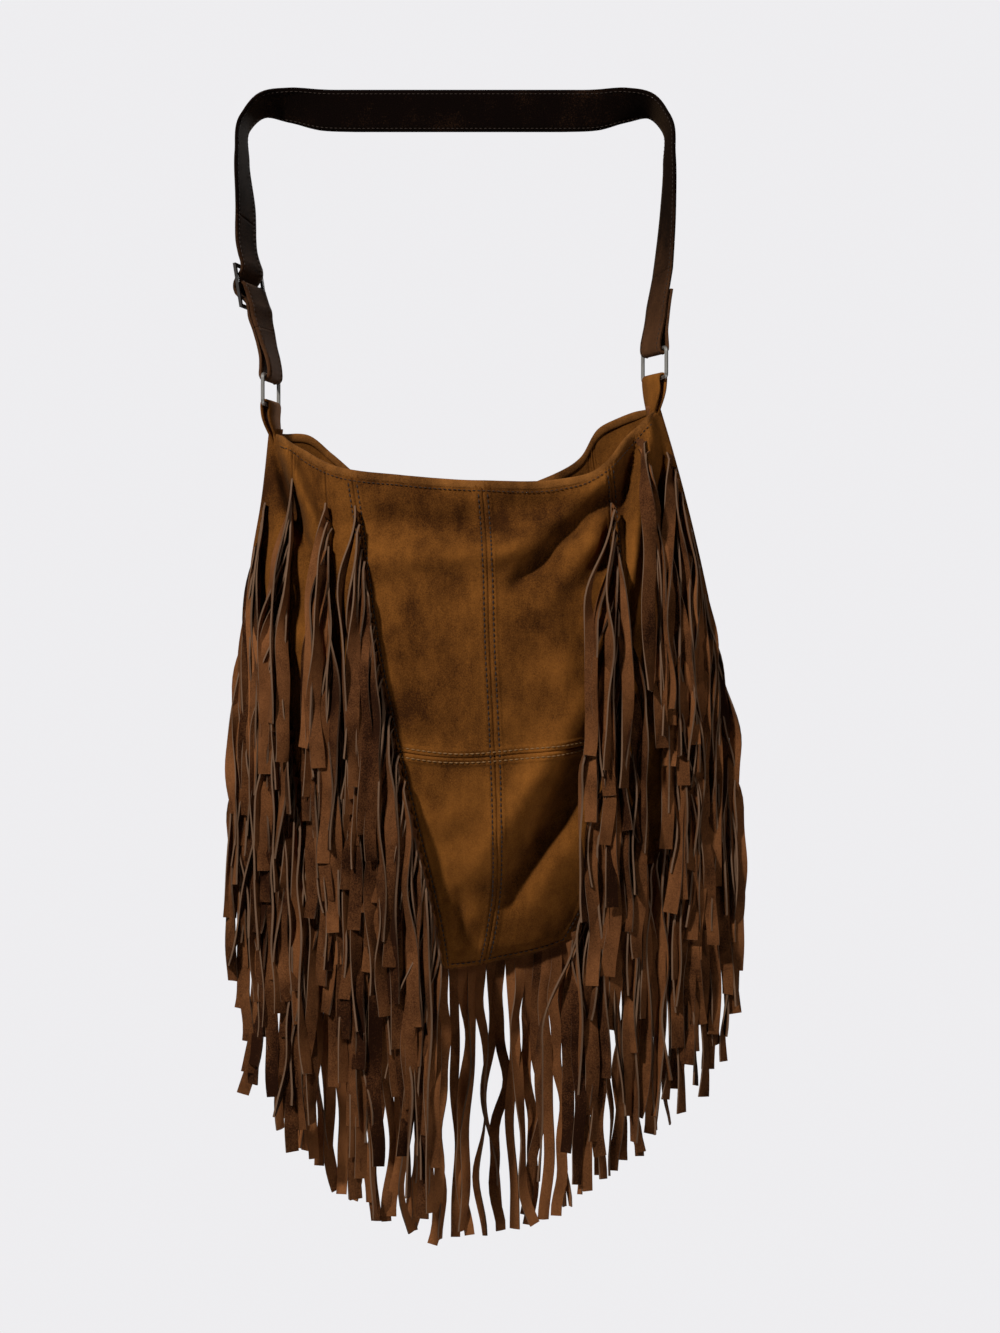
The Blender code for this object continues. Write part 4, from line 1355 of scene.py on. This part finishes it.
# ---- strap and fittings ------------------------------------------------------------------
@dataclass
class StrapLine:
    """The strap's middle line and how it turns about it, by length from the left ring's upper bar.

    Each key is a point of the line (X, Y, Z) and the direction of the strap's width there.
    """

    keys: list = field(default_factory=lambda: [
        (-0.1405, -0.0450, -0.2090, -0.22, -0.975, 0.0),
        (-0.1405, -0.0450, -0.2020, -0.22, -0.975, 0.0),
        (-0.1436, -0.0438, -0.1850, -0.28, -0.960, 0.0),
        (-0.1526, -0.0402, -0.1640, -0.40, -0.916, 0.0),
        (-0.1560, -0.0370, -0.1430, -0.40, -0.916, 0.0),
        (-0.1594, -0.0338, -0.1220, -0.40, -0.916, 0.0),
        (-0.1615, -0.0240, -0.0760, -0.34, -0.940, 0.0),
        (-0.1650, -0.0140, -0.0380, -0.20, -0.980, 0.0),
        (-0.1635, -0.0050, -0.0100, -0.12, -0.985, 0.1),
        (-0.1510, 0.0000, 0.0045, -0.10, -0.900, 0.35),
        (-0.1300, 0.0012, 0.0048, 0.0, -0.700, 0.70),
        (-0.1050, 0.0011, 0.0010, 0.0, -0.400, 0.90),
        (-0.0800, 0.00105, 0.00032, 0.0, -0.2924, 0.9563),
        (0.0, 0.00105, 0.00032, 0.0, -0.2924, 0.9563),
        (0.0800, 0.00105, 0.00032, 0.0, -0.2924, 0.9563),
        (0.1050, 0.0011, 0.0010, 0.0, -0.400, 0.90),
        (0.1280, 0.0012, 0.0048, 0.0, -0.700, 0.70),
        (0.1470, 0.0000, 0.0040, 0.10, -0.900, 0.35),
        (0.1590, -0.0050, -0.0110, 0.12, -0.985, 0.1),
        (0.1605, -0.0140, -0.0400, 0.18, -0.980, 0.0),
        (0.1590, -0.0240, -0.0760, 0.26, -0.965, 0.0),
        (0.1540, -0.0360, -0.1300, 0.38, -0.925, 0.0),
        (0.1495, -0.0430, -0.1650, 0.41, -0.912, 0.0),
        (0.1474, -0.0450, -0.1820, 0.40, -0.9165, 0.0),
        (0.1474, -0.0450, -0.1891, 0.40, -0.9165, 0.0)])
    band_keys: tuple[int, int] = (12, 14)
    slider_key: int = 4

    def __post_init__(self) -> None:
        """Samples the line finely and sets its top run exactly straight."""
        keys = np.array(self.keys)
        fine = smooth_curve(keys[:, :3], np.linspace(0.0, 1.0, 1201))
        chord = np.concatenate([[0.0], np.cumsum(np.linalg.norm(np.diff(keys[:, :3], axis=0), axis=1))])
        along = np.linspace(0.0, chord[-1], 1201)
        across = np.stack([np.interp(along, chord, keys[:, 3 + k]) for k in range(3)], axis=1)
        first, last = self.band_keys
        band = (along >= chord[first]) & (along <= chord[last])
        fine[band, 1:] = keys[first, 1:3]
        tangent = unit(np.gradient(fine, axis=0))
        across = unit(across - np.sum(across * tangent, axis=1, keepdims=True) * tangent)
        self.points, self.wide = fine, across
        self.outward = -np.cross(tangent, across)
        self.length = np.concatenate([[0.0], np.cumsum(np.linalg.norm(np.diff(fine, axis=0), axis=1))])
        self.slider_at = float(np.interp(chord[self.slider_key], along, self.length))
        self.band = self.length[band][[0, -1]]

    def at(self, length: Array, offset: Array) -> tuple[Array, Array]:
        """Points beside the line.

        Args:
            length: how far along the line. Before its start and past its end it goes straight down.
            offset: how far outward of it.

        Returns:
            The points, and the width direction at each.
        """
        end = self.length[-1]
        held = np.clip(length, 0.0, end)
        spot, out, wide = (np.stack([np.interp(held, self.length, table[:, k]) for k in range(3)],
                                    axis=1) for table in (self.points, self.outward, self.wide))
        spot = spot + np.asarray(offset)[:, None] * out
        spot[:, 2] -= np.maximum(-length, 0.0) + np.maximum(length - end, 0.0)
        return spot, wide

    def spot(self, length: float) -> tuple[float, ...]:
        """The line's own point at one length."""
        return tuple(float(c) for c in self.at(np.array([length]), np.zeros(1))[0][0])


@dataclass
class Strap:
    """The long strap with both ends sewn back, cut into lengths where a joint bends it."""

    line: StrapLine
    fold: float = 0.0034    # radius of the strap's middle where it turns round a ring
    layer: float = 0.0015   # offset of each of two layers that lie together
    bar: float = 0.0022     # thickness of the slider's middle bar
    pitch: float = 0.016    # from the slider's middle bar to its lower bar
    gap: float = 0.0004     # between the strap and the bar that it wraps

    def route(self) -> dict[str, Array]:
        """Each length of the strap as (length along the middle line, offset outward).

        The sewn end wraps the slider's middle bar; the strap runs down to the left ring, back up
        and through the slider, over the top, down to the right ring and a little way back up.

        Returns:
            The points of each length, by the length's name.
        """
        at, end = self.line.slider_at, self.line.length[-1]
        wrap = self.bar * math.sqrt(0.5) + self.gap + STRAP_THICK / 2
        turn = np.radians(np.linspace(-15.0, 180.0, 14))
        sewn = np.stack([at + wrap * np.sin(turn), wrap * np.cos(turn)], axis=1)
        inside = np.array([(at - 0.0050, -0.0040), (at - 0.0100, -0.0050), (at - self.pitch, -0.0063),
                           (at - 0.0240, -0.0053), (at - 0.0340, -0.0034), (0.024, -self.layer),
                           (0.012, -0.0024), (0.005, -0.0032)])
        turn = np.radians(np.linspace(180.0, 360.0, 15))
        fold = np.stack([self.fold * np.sin(turn), self.fold * np.cos(turn)], axis=1)
        half = np.array([(0.0, 0.0058), (0.0032, 0.0053), (0.0145, -0.0034), (0.0175, -0.0036),
                         (0.0240, -0.0024), (0.0340, -0.0006)])
        below = np.stack([at - half[::-1, 0], half[::-1, 1]], axis=1)
        above = np.stack([at + half[1:, 0], half[1:, 1]], axis=1)
        lead = np.linspace(at + 0.055, self.line.band[0] - 0.004, 40)
        band = np.linspace(self.line.band[0], self.line.band[1], 40)
        down = np.linspace(self.line.band[1] + 0.004, end - 0.060, 44)
        near = np.array([(end - 0.048, -0.0008), (end - 0.036, -self.layer),
                         (end - 0.022, -self.layer), (end - 0.012, -0.0022), (end - 0.005, -0.0032)])
        back_fold = np.stack([end - self.fold * np.sin(turn), self.fold * np.cos(turn)], axis=1)
        back_up = np.array([(end - 0.005, 0.0032), (end - 0.012, 0.0022), (end - 0.022, self.layer),
                            (end - 0.036, self.layer), (end - 0.044, self.layer + 0.0004)])
        plain = [np.stack([part, np.zeros_like(part)], axis=1) for part in (lead, band, down)]
        return {
            "strap_sewn_end": np.vstack([sewn, inside[:5]]),
            "strap_left_loop": np.vstack([inside[4:], fold, [(0.005, 0.0032), (0.012, 0.0024),
                                                             (0.024, self.layer)], below[:1]]),
            "strap_slider_lower": below,
            "strap_slider_upper": np.vstack([below[-1:], above, [(at + 0.045, 0.0)], plain[0][:1]]),
            "strap_top": np.vstack(plain),
            "strap_right_loop": np.vstack([plain[2][-1:], near, back_fold, back_up]),
        }

    def ribbon(self, name: str, knots: Array, step: float) -> tuple[bpy.types.Object, tuple]:
        """One length of the strap as a doubled leather ribbon.

        Formula: a section with rounded edges and a fine line between its two layers, carried
        along a smooth curve through the knots.

        Args:
            name: the piece's name.
            knots: length along the middle line and offset outward of each point.
            step: distance between two sections.

        Returns:
            The piece, and its middle line, width directions, normals and length.
        """
        spots, wide = self.line.at(knots[:, 0], knots[:, 1])
        total = float(np.sum(np.linalg.norm(np.diff(spots, axis=0), axis=1)))
        stations = max(8, int(total / step))
        shares = np.linspace(0.0, 1.0, stations)
        path = smooth_curve(spots, shares)
        chord = np.concatenate([[0.0], np.cumsum(np.linalg.norm(np.diff(spots, axis=0), axis=1))])
        wide = np.stack([np.interp(shares * chord[-1], chord, wide[:, k]) for k in range(3)], axis=1)
        tangent = unit(np.gradient(path, axis=0))
        wide = unit(wide - np.sum(wide * tangent, axis=1, keepdims=True) * tangent)
        normal = np.cross(tangent, wide)
        w, h = STRAP_WIDTH / 2, STRAP_THICK / 2
        half = [(-w + 0.0008, h), (-0.6 * w, h * 1.02), (0.0, h * 1.04), (0.6 * w, h * 1.02),
                (w - 0.0008, h), (w - 0.0002, 0.72 * h), (w, 0.35 * h), (w - 0.0004, 0.0)]
        section = half + [(-a, -b) for a, b in half]
        verts = np.stack([path + a * wide + b * normal for a, b in section], axis=1)
        obj = new_mesh(name, verts.reshape(-1, 3), tube_faces(stations, len(section)))
        close_ends(obj)
        # Painted shade: the tone is darkest at the strap's top and lighter lower down, for the shade its
        # upper lengths hang in.
        height = np.zeros(len(obj.data.vertices) * 3, dtype=np.float32)
        obj.data.vertices.foreach_get("co", height)
        drop = -height[2::3]
        add_values(obj, "tone", 0.32 * ease((drop - 0.03) / 0.12)
                   + 0.42 * ease((drop - 0.13) / 0.06))
        return obj, (path, wide, normal, total)

    def build(self, finishes: Finishes) -> None:
        """Builds each length and sews both edges.

        Args:
            finishes: the materials.
        """
        at = self.line.slider_at
        end = self.line.length[-1]
        spot = self.line.spot
        joints = {
            "strap_sewn_end": ("strap_slider", "bag", spot(at - 0.019), spot(at - 0.034)),
            "strap_slider_lower": ("bag", "strap_slider", spot(at - 0.034), spot(at - 0.019)),
            "strap_slider_upper": ("strap_slider", "bag", spot(at + 0.020), spot(at + 0.052)),
            "strap_left_loop": ("bag", "ring_left", spot(at - 0.036), spot(0.004)),
            "strap_right_loop": ("bag", "ring_right", spot(end - 0.058), spot(end - 0.004)),
        }
        for name, knots in self.route().items():
            step = 0.0030 if name == "strap_top" else 0.0016
            obj, (path, wide, normal, total) = self.ribbon(name, knots, step)
            body = None if name in joints else "bag"
            place(obj, finishes.strap, ("shoulder_strap",), body)
            rows = []
            for side in (-1.0, 1.0):
                for face in (-1.0, 1.0):
                    line = path + side * (STRAP_WIDTH / 2 - 0.0030) * wide
                    out = face * normal
                    rows.append(stitches_along(line + (STRAP_THICK / 2 + 0.0001) * out, out, 0.0036))
            parts = [np.vstack(p) for p in zip(*rows)]
            thread = stitch_mesh(name + "_stitching", *parts, 0.0027, 0.00035)
            place(thread, finishes.thread, (), body)
            if name in joints:
                for piece in (obj, thread):
                    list(joints[name])
                    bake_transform(piece)


@dataclass
class Fittings:
    """The tabs, which carry the rings, and the metal pieces' finishes."""

    ring_left: tuple[float, float, float] = (-0.1405, SEAM_Y, -0.2200)
    ring_right: tuple[float, float, float] = (0.1474, SEAM_Y, -0.2001)
    bar_left: tuple[float, float, float] = (-0.22, -0.9755, 0.0)
    bar_right: tuple[float, float, float] = (0.40, -0.9165, 0.0)
    wire: float = 0.0015
    width: float = 0.028

    def tab(self, name: str, centre: tuple, bar: tuple, foot: tuple, finishes: Finishes) -> None:
        """A folded tab: two legs from the bag's corner, joined over the ring's lower bar.

        Formula: a middle line up one leg, half round the bar and down the other leg, carrying a
        rounded section that narrows towards the corner.

        Args:
            name: the CAD node it stands for.
            centre: the ring's middle.
            bar: direction of the ring's lower bar.
            foot: how far the legs' ends are drawn towards the corner.
            finishes: the materials.
        """
        bar_dir = unit(np.array(bar))
        pin = np.array(centre) - RING_DROP * UP
        outward = np.cross(UP, bar_dir)
        radius = self.wire + 0.0004 + PANEL / 2
        turn = np.radians(np.linspace(0.0, 180.0, 17))
        legs = np.array([(0.0015, -0.0330), (0.0018, -0.0240), (0.0022, -0.0160), (0.0026, -0.0070),
                         (radius, -0.0025)])
        arc = np.stack([radius * np.cos(turn), radius * np.sin(turn)], axis=1)
        knots = np.vstack([legs, arc, (legs * [-1, 1])[::-1]])
        pts = smooth_curve(knots, np.linspace(0.0, 1.0, 80))
        sink = ease((-pts[:, 1] - 0.006) / 0.026)
        path = pin + pts[:, :1] * outward + pts[:, 1:] * UP + sink[:, None] * np.array(foot)
        tangent = unit(np.gradient(path, axis=0))
        wide = unit(bar_dir - np.sum(bar_dir * tangent, axis=1, keepdims=True) * tangent)
        normal = np.cross(tangent, wide)
        half = 0.5 * self.width * (1.0 - 0.66 * sink)
        h = PANEL * 0.45
        section = [(-1.0, 0.4), (-0.93, 1.0), (0.0, 1.12), (0.93, 1.0), (1.0, 0.4), (1.0, -0.4),
                   (0.93, -1.0), (0.0, -0.88), (-0.93, -1.0), (-1.0, -0.4)]
        verts = np.stack([path + a * half[:, None] * wide + b * h * normal for a, b in section], axis=1)
        obj = new_mesh(name + "_fold", verts.reshape(-1, 3), tube_faces(len(path), 10))
        close_ends(obj)
        add_values(obj, "tone", np.full(len(obj.data.vertices), 0.52))
        place(obj, finishes.panel, (name,))

    def build(self, finishes: Finishes) -> None:
        """Builds both tabs and gives the rings and the slider their finish.

        Args:
            finishes: the materials.
        """
        self.tab("tab_left", self.ring_left, self.bar_left, (0.0050, 0.0, 0.0), finishes)
        self.tab("tab_right", self.ring_right, self.bar_right, (-0.0015, 0.0, 0.0), finishes)
        for name, mat in (("ring_left", finishes.ring), ("ring_right", finishes.ring),
                          ("strap_slider", finishes.slider)):
            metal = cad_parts[name]
            metal.data.materials.clear()
            metal.data.materials.append(mat)
            LOG.info("%s: finished", name)


# ---- the room ------------------------------------------------------------------
@dataclass(frozen=True)
class Studio:
    """Camera, soft lights, a small pale floor and a pale surround."""

    camera: tuple[float, float, float] = (0.0315, -1.945, -0.4265)
    view_height: float = 1.0
    view_distance: float = 1.9

    def floor(self) -> None:
        """A plain pale floor under the hanging bag."""
        half, level = 1.12, -1.25
        verts = np.array([(-half, -half, level), (half, -half, level), (half, half, level),
                          (-half, half, level)])
        sheet = new_mesh("floor", verts, np.array([[0, 1, 2, 3]]), smooth=False)
        mat = bpy.data.materials.new("floor_paint")
        mat.use_nodes = True
        shader = mat.node_tree.nodes["Principled BSDF"]
        shader.inputs["Base Color"].default_value = (0.88, 0.88, 0.89, 1.0)
        shader.inputs["Roughness"].default_value = 1.0
        sheet.data.materials.append(mat)

    def world(self) -> None:
        """A pale surround that is seen behind the bag but hardly lights it."""
        world = bpy.data.worlds.new("studio")
        world.use_nodes = True
        tree = world.node_tree
        back = tree.nodes["Background"]
        back.inputs["Color"].default_value = (0.995, 0.988, 1.01, 1.0)
        seen = node(tree, "ShaderNodeLightPath").outputs["Is Camera Ray"]
        tree.links.new(math_node(tree, "ADD", math_node(tree, "MULTIPLY", seen, 0.853), 0.007),
                       back.inputs["Strength"])
        bpy.context.scene.world = world

    def light(self, name: str, place_at: tuple, aim: tuple, size: float, watts: float,
              colour: tuple = (1.0, 1.0, 1.0)) -> None:
        """Adds one square area light.

        Args:
            name: its name.
            place_at, aim: where it stands and the point that it looks at.
            size: its side.
            watts: its power.
            colour: its colour.
        """
        data = bpy.data.lights.new(name, "AREA")
        data.size, data.energy, data.color = size, watts, colour
        lamp = bpy.data.objects.new(name, data)
        lamp.location = place_at
        lamp.rotation_euler = (Vector(aim) - Vector(place_at)).to_track_quat("-Z", "Y").to_euler()
        bpy.context.scene.collection.objects.link(lamp)

    def build(self) -> None:
        """Sets the world, the floor, the lights and the camera."""
        scene = bpy.context.scene
        scene.view_settings.view_transform = "Standard"
        self.world()
        self.floor()
        self.light("key", (-1.02, -1.38, 0.85), (0.02, -0.05, -0.45), 0.14, 48.0, (1.0, 0.96, 0.90))
        self.light("side", (1.35, -1.25, 0.70), (0.05, -0.05, -0.45), 0.25, 8.5, (1.0, 0.97, 0.92))
        self.light("back", (0.7, 1.9, 0.3), (0.0, 0.0, -0.45), 0.7, 26.0)
        data = bpy.data.cameras.new("camera")
        data.sensor_fit = "VERTICAL"
        data.sensor_height = 36.0
        data.lens = data.sensor_height * self.view_distance / self.view_height
        eye = bpy.data.objects.new("camera", data)
        eye.location = self.camera
        eye.rotation_euler = (0.5 * math.pi, 0.0, 0.0)
        scene.collection.objects.link(eye)
        scene.camera = eye


def main() -> None:
    """Builds the bag piece by piece, then the room, and reports each piece."""
    logging.basicConfig(level=logging.INFO, format="%(name)s: %(message)s")
    Studio().build()
    finishes = Finishes()
    shape = BodyShape()
    for side in (Side.FRONT, Side.BACK):
        Panels(shape, side).build(finishes)
        MouthBinding(shape, side).build(finishes)
    Welt(shape).build(finishes)
    Fringe(shape).build(finishes)
    Strap(StrapLine()).build(finishes)
    Fittings().build(finishes)


if __name__ == "__main__":
    main()
